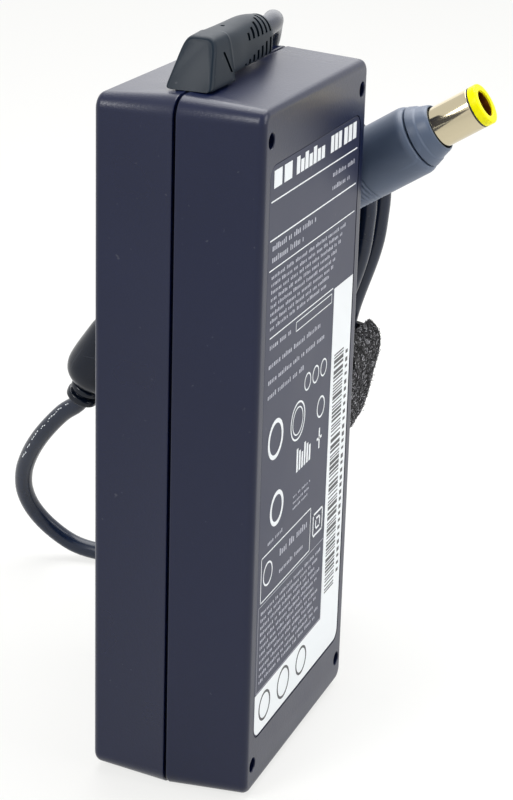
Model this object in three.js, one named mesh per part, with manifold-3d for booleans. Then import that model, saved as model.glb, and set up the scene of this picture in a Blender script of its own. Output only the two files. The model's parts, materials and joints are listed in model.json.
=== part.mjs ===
// Laptop power adapter: a sealed two-shell case that stands on its inlet end, beside the hank of its cord.
// Frame: millimetres, +Z up. X runs across the width, Y through the thickness, the label faces -Y.
import * as THREE from "three";
import { mergeVertices } from "three/addons/utils/BufferGeometryUtils.js";
import Module from "manifold-3d";

const wasm = await Module();
wasm.setup();

// ---------------------------------------------------------------- driving dimensions

// the case
const caseWidth = 53.6;
const caseHeight = 127;
const caseThickness = 30.2;
const seamY = 0.3; // the seam lies a little behind the middle
const draftSlope = 0.069; // each shell narrows by this much per millimetre away from the seam
const cornerRadius = 3.6;
const edgeRadius = 1.3;
const wall = 2.2;
const seamGap = 0.5;
const tongueThickness = 0.8;
const tongueRise = 1.6;
const tongueRoot = 2; // how deep the tongue starts inside its own shell
const flatClearance = 0.1; // between flat faces that lie along the axes
const seatClearance = 0.3; // between round or slanted pieces

// the label
const labelMarginX = 4.2; // from the side of the case at the seam
const labelBottomZ = 11.1;
const labelTopMargin = 10.7;
const labelRadius = 2.4;
const labelThickness = 0.3;
const labelRecess = 0.4;

// the case screws
const screwInsetX = 4.2;
const screwInsetZ = 6.3;
const screwHeadRadius = 1.3;
const screwHeadHeight = 1.5;
const screwHeadDepth = 1.6; // the head's top lies this far under the face
const screwShankRadius = 0.95;
const screwLength = 21;
const screwHoleRadius = 1.55;
const postRadius = 2.7;
const driveRecessWidth = 0.5;
const driveRecessDepth = 0.7;

// the mains inlet on the end that the case stands on
const inletWidth = 20;
const inletDepthY = 14;
const inletHeight = 17;
const inletFlangeReach = 1.6; // past the body on each side
const inletFlangeThickness = 1.8;
const socketRadius = 4.4;
const socketHalfSpan = 3.4; // from the middle to the centre of each round end
const socketDepth = 13;
const inletPinRadius = 1.18;
const inletPinSpacing = 8.5;
const inletPinSink = 3; // the pin's tip lies this far inside the mouth
const inletPinTail = 4; // and its tail stands this far out of the back
const wireRadius = 0.8;

// the circuit board
const boardMargin = 3.1; // from the case's inner wall to the board's long edges
const boardThickness = 1.6;
const boardBottomGap = 1; // behind the inlet's pin tails
const boardTopGap = 11; // under the top of the case
const standoffLength = 1.9;
const standoffRadius = 2;
const headroom = 2.6; // from the tallest part on the board to the label side's inner wall
const rowGap = 1;

// the output cord and its hank
const cordDiameter = 3.8;
const hankRun = 74;
const hankFoldRadius = 11.4; // of the innermost loop
const hankLoopPitch = 5.2; // between neighbouring loops of one layer
const hankLayerPitch = 4.5;
const hankWaistDraw = 3; // how much the waist draws every loop in
const hankWaistHalfHeight = 10;
const hankWaistRamp = 22;
const hankCentreY = 10.8;
const hankLean = 5; // degrees that its top leans towards the label side
const hankFrontX = 43.5; // centre of the layer nearest the case
const hankFloorGap = 0.05;

// the strap round the hank
const strapWidth = 22;
const strapThickness = 1.7;
const strapLowZ = 43.5;
const strapCornerRadius = 1.2;
const strapTailThickness = 1.4;
const strapTailLift = 3; // how far the loose end stands away
const strapTailInset = 0.8; // the loose end is this much narrower on each side
const strapTailBend = 4; // the loose end turns this far under the band's upper edge
const strapTailCurl = 3.4; // how far its tip turns back towards the hank
const strapTailRise = 1.8; // how far its tip stands above the band

// the cord boot on the top end
const bootInset = 5.5; // from the side of the case to the foot of the boot's front face
const bootLean = 4.7; // how far the front face leans back up to the ridge
const bootBlockLength = 10.1; // from there to where the sleeve starts
const bootHeight = 8.2;
const bootHalfWidth = 4.35;
const bootRidgeHalfWidth = 2.7;
const bootLift = 0.05;
const bootLength = 30.3; // from there to the end of the sleeve
const sleeveRise = 1.1; // from the case to the sleeve's underside
const sleeveRidgeRise = 0.5; // from the block's ridge to the sleeve's
const sleeveHalfWidth = 3.4;
const sleeveEndHalfWidth = 3.2;
const cordExitRise = 5; // from the case to the middle of the cord
const slotCount = 6;
const slotPitch = 2.05;
const slotWidth = 0.9;
const slotInset = 12.1; // from the sleeve's end to the first slot
const slotReachZ = 3; // down from the ridge
const slotRootHalfWidth = 2.3; // what is left between the slots
const neckInset = 1.8; // from the foot of the front face to the neck
const neckLength = 8;
const neckWidth = 6;
const neckFlangeReach = 1.4;
const neckFlangeThickness = 2;
const outputWireInset = 2.2; // from the front of the neck to the first wire
const outputWireSpacing = 3.1;

// the moulded ferrite sleeve on the cord
const ferriteStart = [40.08, 49.85, 44.4]; // middle of its lower end
const ferriteAxis = [-0.081, -0.446, 0.891];
const ferriteLength = 27;
const ferriteBoreRadius = 2.3;
const ferriteNeckRadius = 3.4;
const ferriteGrooveRadius = 2.7;
const ferriteRidgeRadius = 3.2;
const ferriteRadius = 6.1;
const ferriteCoreRadius = 4.1;
const ferriteCoreLength = 10.5;
const ferriteCoreStart = 7; // from the sleeve's lower end

// the plug
const plugRim = [34.4, -26.6, 112.7]; // middle of the collar's rim
const plugTilt = 57.27; // degrees from upright, towards the label side
const plugBarrelRadius = 3.95;
const plugBarrelWall = 0.4;
const plugBarrelReach = 8.1; // past the collar
const plugBarrelSeat = 3; // inside the collar
const plugTipLength = 1.9;
const plugTipWall = 0.35;
const plugContactWall = 0.35;
const plugMouthRadius = 2.55; // the opening in the face of the tip ring
const plugPinRadius = 0.45;
const plugPinSink = 1.2; // under the tip's face
const plugCoreThickness = 2.4;
const collarLength = 4;
const collarRadius = 6.1;
const collarTaper = 0.55; // from its back to the step
const collarStep = 0.3;
const collarRimRadius = 4.45;
const gripRadius = 6.65;
const gripLength = 25;
const gripRearRadius = 5.6;
const gripShoulder = 1.6;
const reliefLength = 12;
const reliefRadius = 2.9;

const sideCount = 24; // sides of the larger turned pieces
const smallSideCount = 12;
const cordSideCount = 8;

// ---------------------------------------------------------------- materials

const finish = (color, roughness, metalness = 0) =>
  new THREE.MeshStandardMaterial({ color, roughness, metalness });

const shellPlastic = finish(0x232430, 0.42);
const labelPlastic = finish(0x5c616e, 0.4);
const blackRubber = finish(0x1a1d22, 0.6);
const greyRubber = finish(0x56606d, 0.5);
const strapFabric = finish(0x17171a, 0.95);
const blackPlastic = finish(0x151518, 0.5);
const yellowPlastic = finish(0xf7ee00, 0.35);
const palePlastic = finish(0xd9d5c0, 0.6);
const goldMetal = finish(0xd9c795, 0.22, 1);
const steel = finish(0x9a9ca0, 0.35, 1);
const aluminium = finish(0xb4b7ba, 0.45, 1);
const copper = finish(0xb5673a, 0.4, 1);
const ferriteGrey = finish(0x33353a, 0.8);
const boardGreen = finish(0x1f5a34, 0.5);
const partBlue = finish(0x2b4f9a, 0.4);
const redInsulation = finish(0xa8261f, 0.5);
const whiteInsulation = finish(0xd8d8d4, 0.5);

// ---------------------------------------------------------------- solids and booleans

// A closed geometry as a manifold solid: shared places are merged, and the faces are turned to point out.
function solidOf(geometry) {
  const bare = geometry.clone();
  for (const name of Object.keys(bare.attributes)) {
    if (name !== "position") bare.deleteAttribute(name);
  }
  const merged = mergeVertices(bare, 1e-4);
  const faces = Array.from(merged.index.array);
  if (signedVolume(merged) < 0) faces.reverse();
  return new wasm.Manifold(
    new wasm.Mesh({
      numProp: 3,
      vertProperties: merged.attributes.position.array,
      triVerts: new Uint32Array(faces),
    }),
  );
}

function signedVolume(geometry) {
  const corners = [0, 1, 2].map(() => new THREE.Vector3());
  let total = 0;
  for (let i = 0; i < geometry.index.count; i += 3) {
    corners.forEach((corner, k) =>
      corner.fromBufferAttribute(geometry.attributes.position, geometry.index.getX(i + k)),
    );
    total += corners[0].dot(corners[1].cross(corners[2])) / 6;
  }
  return total;
}

function geometryOf(solid) {
  const mesh = solid.getMesh();
  const geometry = new THREE.BufferGeometry();
  geometry.setAttribute("position", new THREE.BufferAttribute(mesh.vertProperties, 3));
  geometry.setIndex(new THREE.BufferAttribute(mesh.triVerts, 1));
  return geometry;
}

// The first geometry with the added ones joined, and then the cut ones taken out.
function carve(first, { add = [], cut = [] }) {
  let solid = solidOf(first);
  for (const geometry of add) solid = solid.add(solidOf(geometry));
  for (const geometry of cut) solid = solid.subtract(solidOf(geometry));
  return geometryOf(solid);
}

// A box between two corners.
function block(low, high) {
  const size = high.map((value, axis) => value - low[axis]);
  const middle = high.map((value, axis) => (value + low[axis]) / 2);
  return new THREE.BoxGeometry(...size).translate(...middle);
}

// A cylinder from one Y to another.
function rodAlongY(x, z, fromY, toY, radius, sides = smallSideCount) {
  return new THREE.CylinderGeometry(radius, radius, toY - fromY, sides).translate(x, (fromY + toY) / 2, z);
}

// A cylinder from one Z to another.
function rodAlongZ(x, y, fromZ, toZ, radius, sides = smallSideCount) {
  return new THREE.CylinderGeometry(radius, radius, toZ - fromZ, sides)
    .rotateX(Math.PI / 2)
    .translate(x, y, (fromZ + toZ) / 2);
}

// A solid of revolution about Z, from [radius, height] pairs that close on the axis or on themselves.
function turned(profile, sides = sideCount) {
  const points = profile.map(([radius, height]) => new THREE.Vector2(radius, height));
  return new THREE.LatheGeometry(points, sides).rotateX(Math.PI / 2);
}

// A pipe about Z, as a profile that closes on itself.
function pipe(outerRadius, innerRadius, fromZ, toZ, sides = sideCount) {
  const corners = [
    [innerRadius, fromZ],
    [outerRadius, fromZ],
    [outerRadius, toZ],
    [innerRadius, toZ],
    [innerRadius, fromZ],
  ];
  return turned(corners, sides);
}

// Rings of equally many points joined into a closed skin, with a flat fan on each end.
function loft(rings) {
  const count = rings[0].length;
  const faces = [];
  for (let ring = 0; ring + 1 < rings.length; ring++) {
    for (let i = 0; i < count; i++) {
      const a = ring * count + i;
      const b = ring * count + ((i + 1) % count);
      faces.push(a, b, b + count, a, b + count, a + count);
    }
  }
  const last = (rings.length - 1) * count;
  for (let i = 1; i + 1 < count; i++) {
    faces.push(0, i + 1, i);
    faces.push(last, last + i, last + i + 1);
  }
  const geometry = new THREE.BufferGeometry().setFromPoints(rings.flat());
  geometry.setIndex(faces);
  return geometry;
}

// A round tube along a curve through the given points.
function tubeAlong(points, radius, stepLength, sides = cordSideCount) {
  const path = new THREE.CatmullRomCurve3(
    points.map((point) => new THREE.Vector3(...point)),
    false,
    "centripetal",
  );
  const section = new THREE.Shape(
    Array.from({ length: sides }, (_, i) => {
      const angle = (i / sides) * Math.PI * 2;
      return new THREE.Vector2(radius * Math.cos(angle), radius * Math.sin(angle));
    }),
  );
  const steps = Math.max(4, Math.round(path.getLength() / stepLength));
  return new THREE.ExtrudeGeometry(section, { steps, extrudePath: path, bevelEnabled: false });
}

// A rectangle with round corners, as a shape in the plane.
function roundedRectangle(lowX, lowY, highX, highY, radius) {
  const outline = new THREE.Shape();
  outline.moveTo(highX, lowY + radius);
  outline.lineTo(highX, highY - radius);
  outline.absarc(highX - radius, highY - radius, radius, 0, Math.PI / 2);
  outline.absarc(lowX + radius, highY - radius, radius, Math.PI / 2, Math.PI);
  outline.absarc(lowX + radius, lowY + radius, radius, Math.PI, Math.PI * 1.5);
  outline.absarc(highX - radius, lowY + radius, radius, Math.PI * 1.5, Math.PI * 2);
  return outline;
}

// ---------------------------------------------------------------- the object and its groups

const adapter = new THREE.Group();

function place(name, geometry, material, parent = adapter) {
  const shown = geometryOf(solidOf(geometry)).toNonIndexed();
  shown.computeVertexNormals();
  const mesh = new THREE.Mesh(shown, material.clone());
  mesh.name = name;
  parent.add(mesh);
}

const faceY = caseThickness / 2;
const innerFaceY = faceY - wall;
const sideX = caseWidth / 2;
const topZ = caseHeight;
const draftAt = (y) => draftSlope * Math.abs(y - seamY);
const bootFrontX = -sideX + bootInset;
const bootRearX = bootFrontX + bootBlockLength;
const sleeveEndX = bootFrontX + bootLength;
const slotStartX = sleeveEndX - slotInset;

// ---------------------------------------------------------------- the two shells

// The case's outline in a plane of constant Y, drawn in by an inset: a rectangle with round corners.
function caseRing(inset, y, cornerSteps = 6) {
  const halfWidth = sideX - inset;
  const radius = Math.max(cornerRadius - inset, 0.6);
  const corners = [
    [halfWidth - radius, topZ - inset - radius],
    [radius - halfWidth, topZ - inset - radius],
    [radius - halfWidth, inset + radius],
    [halfWidth - radius, inset + radius],
  ];
  return corners.flatMap(([x, z], quarter) =>
    Array.from({ length: cornerSteps + 1 }, (_, step) => {
      const angle = ((quarter + step / cornerSteps) * Math.PI) / 2;
      return new THREE.Vector3(x + radius * Math.cos(angle), y, z + radius * Math.sin(angle));
    }),
  );
}

// One shell's outside: drafted sides from the seam, then the rounded edge, then its flat face.
function shellOutside(side) {
  const roundStart = side * (faceY - edgeRadius);
  const seamEdge = seamY + (side * seamGap) / 2;
  const rings = [caseRing(draftAt(seamEdge), seamEdge), caseRing(draftAt(roundStart), roundStart)];
  const steps = 4;
  for (let step = 1; step <= steps; step++) {
    const angle = ((step / steps) * Math.PI) / 2;
    const y = side * (faceY - edgeRadius * (1 - Math.sin(angle)));
    rings.push(caseRing(draftAt(roundStart) + edgeRadius * (1 - Math.cos(angle)), y));
  }
  return loft(rings);
}

function shellInside(side) {
  const floorY = side * innerFaceY;
  const beyondSeam = seamY - side;
  return loft([caseRing(wall, beyondSeam, 3), caseRing(wall + draftAt(floorY), floorY, 3)]);
}

// A ring that stands on the wall's inner half and bridges the seam.
function tongueRing(outerInset, innerInset, fromY, toY) {
  const outer = loft([caseRing(outerInset, fromY, 3), caseRing(outerInset, toY, 3)]);
  const inner = loft([caseRing(innerInset, fromY - 1, 3), caseRing(innerInset, toY + 1, 3)]);
  return carve(outer, { cut: [inner] });
}

const screwX = sideX - screwInsetX;
const screwPlaces = [
  [-screwX, topZ - screwInsetZ],
  [screwX, topZ - screwInsetZ],
  [-screwX, screwInsetZ],
  [screwX, screwInsetZ],
];
const screwSeatY = -faceY + screwHeadDepth + screwHeadHeight;
const screwEndY = screwSeatY + screwLength;
const tongueTopY = seamY + tongueRise;

const inletHole = block(
  [-inletWidth / 2 - seatClearance, seamY - inletDepthY / 2 - seatClearance, -1],
  [inletWidth / 2 + seatClearance, seamY + inletDepthY / 2 + seatClearance, wall * 2],
);
const neckX = bootFrontX + neckInset;
const bootHole = block(
  [neckX - seatClearance, seamY - neckWidth / 2 - seatClearance, topZ - wall * 2],
  [neckX + neckLength + seatClearance, seamY + neckWidth / 2 + seatClearance, topZ + 1],
);

function labelPlate(fromY, toY, grow = 0) {
  const halfWidth = sideX - labelMarginX + grow;
  const low = labelBottomZ - grow;
  const high = topZ - labelTopMargin + grow;
  const outline = roundedRectangle(-halfWidth, low, halfWidth, high, labelRadius + grow);
  return new THREE.ExtrudeGeometry(outline, { depth: toY - fromY, bevelEnabled: false, curveSegments: 4 })
    .rotateX(Math.PI / 2)
    .translate(0, toY, 0);
}

const boardTopZ = topZ - boardTopGap;
const boardBottomZ = inletHeight + inletPinTail + boardBottomGap;
const boardHalfWidth = sideX - wall - boardMargin;
const boardBackY = innerFaceY - standoffLength;
const boardFrontY = boardBackY - boardThickness;
const standoffPlaces = [-1, 1].flatMap((side) =>
  [boardBottomZ + 4, boardTopZ - 4].map((z) => [side * (boardHalfWidth - 3), z]),
);

function baseShell() {
  const posts = screwPlaces.map(([x, z]) => rodAlongY(x, z, -faceY + wall / 2, tongueTopY, postRadius, 16));
  const headHoles = screwPlaces.map(([x, z]) => rodAlongY(x, z, -faceY - 1, screwSeatY, screwHoleRadius, 16));
  const shankHoles = screwPlaces.map(([x, z]) =>
    rodAlongY(x, z, -faceY, tongueTopY + 1, screwShankRadius + seatClearance),
  );
  const tongue = tongueRing(wall - tongueThickness, wall, seamY - tongueRoot, tongueTopY);
  const hollow = carve(shellOutside(-1), { cut: [shellInside(-1)] });
  const recess = labelPlate(-faceY - 1, -faceY + labelRecess, seatClearance / 2);
  return carve(hollow, {
    add: [tongue, ...posts],
    cut: [...headHoles, ...shankHoles, inletHole, bootHole, recess],
  });
}

function coverShell() {
  const rebateTopY = tongueTopY + flatClearance;
  const rebate = tongueRing(wall - tongueThickness - flatClearance, wall + 1, seamY - 1, rebateTopY);
  const hollow = carve(shellOutside(1), { cut: [shellInside(1), rebate] });
  const bosses = screwPlaces.map(([x, z]) => rodAlongY(x, z, rebateTopY, faceY - wall / 2, postRadius, 16));
  const standoffs = standoffPlaces.map(([x, z]) =>
    rodAlongY(x, z, boardBackY + flatClearance, faceY - wall / 2, standoffRadius),
  );
  const pilotHoles = screwPlaces.map(([x, z]) =>
    rodAlongY(x, z, seamY, screwEndY + seatClearance, screwShankRadius + seatClearance),
  );
  return carve(hollow, { add: [...bosses, ...standoffs], cut: [...pilotHoles, inletHole, bootHole] });
}

function caseScrew(x, z) {
  const headTopY = screwSeatY - screwHeadHeight;
  const headFootY = screwSeatY - flatClearance;
  const armReach = screwHeadRadius * 0.6;
  const arm = (reachX, reachZ) =>
    block([x - reachX, headTopY - 1, z - reachZ], [x + reachX, headTopY + driveRecessDepth, z + reachZ]);
  return carve(rodAlongY(x, z, headTopY, headFootY, screwHeadRadius, 16), {
    add: [rodAlongY(x, z, headTopY + screwHeadHeight / 2, screwEndY, screwShankRadius)],
    cut: [arm(armReach, driveRecessWidth / 2), arm(driveRecessWidth / 2, armReach)],
  });
}

place("base_shell", baseShell(), shellPlastic);
place("cover_shell", coverShell(), shellPlastic);
const labelBackY = -faceY + labelRecess - flatClearance / 2;
place("rating_label", labelPlate(labelBackY - labelThickness, labelBackY), labelPlastic);
screwPlaces.forEach(([x, z], i) => place(`case_screw_${i + 1}`, caseScrew(x, z), steel));

// ---------------------------------------------------------------- the mains inlet

const pinX = inletPinSpacing / 2;

function inletHousing() {
  const [halfWidth, halfDepth] = [inletWidth / 2, inletDepthY / 2];
  const flangeZ = wall + draftAt(seamY + halfDepth + inletFlangeReach) + seatClearance;
  const body = block([-halfWidth, seamY - halfDepth, 0], [halfWidth, seamY + halfDepth, inletHeight]);
  const flange = block(
    [-halfWidth - inletFlangeReach, seamY - halfDepth - inletFlangeReach, flangeZ],
    [halfWidth + inletFlangeReach, seamY + halfDepth + inletFlangeReach, flangeZ + inletFlangeThickness],
  );
  const socket = block(
    [-socketHalfSpan, seamY - socketRadius, -1],
    [socketHalfSpan, seamY + socketRadius, socketDepth],
  );
  const socketEnds = [-1, 1].map((side) =>
    rodAlongZ(side * socketHalfSpan, seamY, -1, socketDepth, socketRadius, 16),
  );
  const pinHoles = [-1, 1].map((side) =>
    rodAlongZ(side * pinX, seamY, socketDepth - 1, inletHeight + 1, inletPinRadius + flatClearance),
  );
  return carve(body, { add: [flange], cut: [socket, ...socketEnds, ...pinHoles] });
}

function mainsWire(x) {
  const tailZ = inletHeight + inletPinTail + seatClearance;
  const endZ = boardBottomZ + 4.5;
  const endY = boardFrontY - seatClearance;
  const points = [
    [x, seamY, tailZ],
    [x, seamY, tailZ + 2],
    [x, seamY + 2, endZ - 0.6],
    [x, endY - 2, endZ],
    [x, endY, endZ],
  ];
  return tubeAlong(points, wireRadius, 1.6, 6);
}

place("inlet_housing", inletHousing(), blackPlastic);
[
  ["live", -pinX],
  ["neutral", pinX],
].forEach(([role, x]) => {
  const pin = rodAlongZ(x, seamY, inletPinSink, inletHeight + inletPinTail, inletPinRadius);
  place(`inlet_pin_${role}`, pin, steel);
  place(`ac_wire_${role}`, mainsWire(x), whiteInsulation);
});

// ---------------------------------------------------------------- the board and what it carries

// Parts stand on the board's front, towards the label side, with a hair of clearance.
const mountY = boardFrontY - flatClearance;
const tallest = mountY + innerFaceY - headroom;

// A part with square sides, from one corner to another in X and Z, and as high as given.
function squarePart([lowX, highX], [lowZ, highZ], height) {
  return block([lowX, mountY - height, lowZ], [highX, mountY, highZ]);
}

// An electrolytic can about Z with its crimped groove and rounded ends.
function can(radius, length) {
  const groove = radius * 0.9;
  const profile = [
    [0, 0],
    [radius * 0.92, 0],
    [radius, radius * 0.08],
    [radius, length * 0.08],
    [groove, length * 0.11],
    [radius, length * 0.14],
    [radius, length - radius * 0.08],
    [radius * 0.92, length],
    [0, length],
  ];
  return turned(profile, 16);
}

// A can that stands on the board, with its axis along Y.
function standingCan(x, z, radius, height) {
  return can(radius, height).rotateX(Math.PI / 2).translate(x, mountY, z);
}

// A wound ring that stands on the board, with its axis along Y.
function standingRing(x, z, outerRadius, innerRadius, height) {
  return pipe(outerRadius, innerRadius, 0, height, 16).rotateX(Math.PI / 2).translate(x, mountY, z);
}

// A disc that stands on its edge, with its axis along Z.
function edgeDisc(x, z, radius, thickness) {
  return rodAlongZ(x, mountY - radius, z - thickness / 2, z + thickness / 2, radius, 16);
}

// A bent plate: one leg stands on the board, the other turns over the parts beside it.
function bentHeatSink([lowX, highX], [lowZ, highZ], height, foldReach) {
  const leg = squarePart([lowX, highX], [lowZ, highZ], height);
  const thickness = highX - lowX;
  const fold = block([lowX - foldReach, mountY - height, lowZ], [highX, mountY - height + thickness, highZ]);
  return carve(leg, { add: [fold] });
}

const fuseRadius = 4.2;
const fuseX = -15.5;
const fuseHeight = 8;
const xCapacitorX = [-8, 10];
const xCapacitorHalfLength = 4.5;
const xCapacitorHeight = 15;
const discThickness = 3.5;
const yCapacitorX = 16.5;
const yCapacitorRadius = 4;
const thermistorX = -15.5;
const thermistorRadius = 5;
const chokeX = 10.5;
const chokeRadius = 9;
const chokeHoleRadius = 4;
const chokeHeight = 10;
const bridgeX = [-20, 0];
const bridgeThickness = 3.6;
const bridgeHeight = 17;
const bulkX = -11;
const bulkRadius = 9;
const heatSinkThickness = 2;
const heatSinkFold = 7;
const primarySinkX = 18;
const secondarySinkX = 17;
const packageThickness = 4.5; // of a transistor or rectifier
const packageLength = 10;
const packageHeight = 15;
const heatSinkHeight = packageHeight + flatClearance + heatSinkThickness;
const inputRowRise = 10.5; // from the board's lower edge
const filterRowRise = 26;
const transformerDrop = 25.4; // from the board's upper edge
const outputRowDrop = 7.5;
const controlBoardX = 8;
const controlBoardHeight = 12;
const controlBoardThickness = 1;
const optocouplerX = [0.5, 7];
const optocouplerLength = 4.6;
const optocouplerHeight = 3.5;
const coreX = -5;
const coreHalfWidth = 14;
const coreLegHalfWidth = 4;
const coreYoke = 3.6;
const coreLength = 22;
const coreDepth = 12;
const windingHalfWidth = 9.7;
const outputCanRadius = 5;
const outputCanHeight = 16;
const inductorX = 8.5;
const inductorRadius = 6;
const inductorHoleRadius = 2.4;
const inductorHeight = 9;
const insulationHalfWidth = 20;
const insulationThickness = 0.4;

// The rows of parts, from the inlet end up: input, filter, switch, transformer and output.
const inputRowZ = boardBottomZ + inputRowRise;
const filterRowZ = boardBottomZ + filterRowRise;
const transformerZ = boardTopZ - transformerDrop;
const outputRowZ = boardTopZ - outputRowDrop;
const switchRowHighZ = transformerZ - coreLength / 2 - rowGap;
const bulkLowZ = filterRowZ + bridgeThickness / 2 + 2 * rowGap;
const sinkLowZ = filterRowZ + chokeRadius + 2 * rowGap;

// The two halves of an E core as one ring with a middle leg, which the winding goes round.
function transformerCore() {
  const middleY = mountY - tallest / 2;
  const [lowZ, highZ] = [transformerZ - coreLength / 2, transformerZ + coreLength / 2];
  const [nearY, farY] = [middleY - coreDepth / 2, middleY + coreDepth / 2];
  const body = block([coreX - coreHalfWidth, nearY, lowZ], [coreX + coreHalfWidth, farY, highZ]);
  const windows = [
    [coreX - coreHalfWidth + coreYoke, coreX - coreLegHalfWidth],
    [coreX + coreLegHalfWidth, coreX + coreHalfWidth - coreYoke],
  ].map(([lowX, highX]) => block([lowX, nearY - 1, lowZ + coreYoke], [highX, farY + 1, highZ - coreYoke]));
  return carve(body, { cut: windows });
}

// The winding on its bobbin: a collar in the core's windows, round the middle leg.
function transformerWinding() {
  const middleY = mountY - tallest / 2;
  const reachZ = coreLength / 2 - coreYoke - flatClearance;
  const legX = coreLegHalfWidth + flatClearance;
  const legY = coreDepth / 2 + flatClearance;
  const collar = block(
    [coreX - windingHalfWidth, mountY - tallest, transformerZ - reachZ],
    [coreX + windingHalfWidth, mountY, transformerZ + reachZ],
  );
  const legHole = block(
    [coreX - legX, middleY - legY, transformerZ - coreLength],
    [coreX + legX, middleY + legY, transformerZ + coreLength],
  );
  return carve(collar, { cut: [legHole] });
}

// A transistor or rectifier, clamped to the heat sink on its +X side.
function tabPackage(sinkX, z) {
  const highX = sinkX - flatClearance;
  const reachZ = packageLength / 2;
  return squarePart([highX - packageThickness, highX], [z - reachZ, z + reachZ], packageHeight);
}

place(
  "circuit_board",
  block([-boardHalfWidth, boardFrontY, boardBottomZ], [boardHalfWidth, boardBackY, boardTopZ]),
  boardGreen,
);
place("fuse", standingCan(fuseX, inputRowZ, fuseRadius, fuseHeight), blackPlastic);
place(
  "x_capacitor",
  squarePart(
    xCapacitorX,
    [inputRowZ - xCapacitorHalfLength, inputRowZ + xCapacitorHalfLength],
    xCapacitorHeight,
  ),
  yellowPlastic,
);
place("y_capacitor", edgeDisc(yCapacitorX, inputRowZ, yCapacitorRadius, discThickness), partBlue);
place(
  "thermistor",
  edgeDisc(thermistorX, inputRowZ + fuseRadius + rowGap + discThickness / 2, thermistorRadius, discThickness),
  blackPlastic,
);
place(
  "common_mode_choke",
  standingRing(chokeX, filterRowZ, chokeRadius, chokeHoleRadius, chokeHeight),
  copper,
);
place(
  "bridge_rectifier",
  squarePart(bridgeX, [filterRowZ - bridgeThickness / 2, filterRowZ + bridgeThickness / 2], bridgeHeight),
  blackPlastic,
);
place(
  "bulk_capacitor",
  can(bulkRadius, switchRowHighZ - bulkLowZ).translate(bulkX, mountY - bulkRadius, bulkLowZ),
  partBlue,
);
place(
  "primary_heat_sink",
  bentHeatSink(
    [primarySinkX, primarySinkX + heatSinkThickness],
    [sinkLowZ, switchRowHighZ],
    heatSinkHeight,
    heatSinkFold,
  ),
  aluminium,
);
place("switching_transistor", tabPackage(primarySinkX, (sinkLowZ + switchRowHighZ) / 2), blackPlastic);
place(
  "control_board",
  squarePart(
    [controlBoardX, controlBoardX + controlBoardThickness],
    [sinkLowZ, switchRowHighZ - 2 * rowGap],
    controlBoardHeight,
  ),
  boardGreen,
);
place(
  "optocoupler",
  squarePart(
    optocouplerX,
    [switchRowHighZ - rowGap - optocouplerLength, switchRowHighZ - rowGap],
    optocouplerHeight,
  ),
  whiteInsulation,
);
place("transformer_core", transformerCore(), ferriteGrey);
place("transformer_winding", transformerWinding(), palePlastic);
place(
  "secondary_heat_sink",
  bentHeatSink(
    [secondarySinkX, secondarySinkX + heatSinkThickness],
    [transformerZ - 3 * rowGap, boardTopZ - 2 * rowGap],
    heatSinkHeight,
    heatSinkFold - packageThickness,
  ),
  aluminium,
);
const rectifierZ = transformerZ + rowGap + packageLength / 4;
place("output_rectifier", tabPackage(secondarySinkX, rectifierZ), blackPlastic);
[-14.5, -3.3].forEach((x, i) => {
  const capacitor = standingCan(x, outputRowZ, outputCanRadius, outputCanHeight);
  place(`output_capacitor_${i + 1}`, capacitor, blackPlastic);
});
place(
  "output_inductor",
  standingRing(inductorX, outputRowZ, inductorRadius, inductorHoleRadius, inductorHeight),
  copper,
);
place(
  "insulation_sheet",
  block(
    [-insulationHalfWidth, seatClearance - innerFaceY, boardBottomZ + rowGap],
    [insulationHalfWidth, seatClearance - innerFaceY + insulationThickness, boardTopZ],
  ),
  yellowPlastic,
);

// ---------------------------------------------------------------- the cord boot

// A section of the boot across X: an arch on a squarer foot, which narrows towards its ridge and may lean.
function bootRing({ footX, ridgeX, footZ, ridgeZ, footHalf, ridgeHalf, archPower, footPower }) {
  const count = 20;
  const soften = (value, power) => Math.sign(value) * Math.abs(value) ** (2 / power);
  return Array.from({ length: count }, (_, i) => {
    const angle = ((i + 0.5) / count) * Math.PI * 2;
    const power = Math.sin(angle) > 0 ? archPower : footPower;
    const rise = (soften(Math.sin(angle), power) + 1) / 2;
    return new THREE.Vector3(
      THREE.MathUtils.lerp(footX, ridgeX, rise),
      seamY + soften(Math.cos(angle), power) * THREE.MathUtils.lerp(footHalf, ridgeHalf, rise),
      THREE.MathUtils.lerp(footZ, ridgeZ, rise),
    );
  });
}

const bootFootZ = topZ + bootLift;
const bootRidgeZ = topZ + bootHeight;
const sleeveFootZ = topZ + sleeveRise;
const sleeveRidgeZ = bootRidgeZ + sleeveRidgeRise;
const cordExitZ = topZ + cordExitRise;

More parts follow.
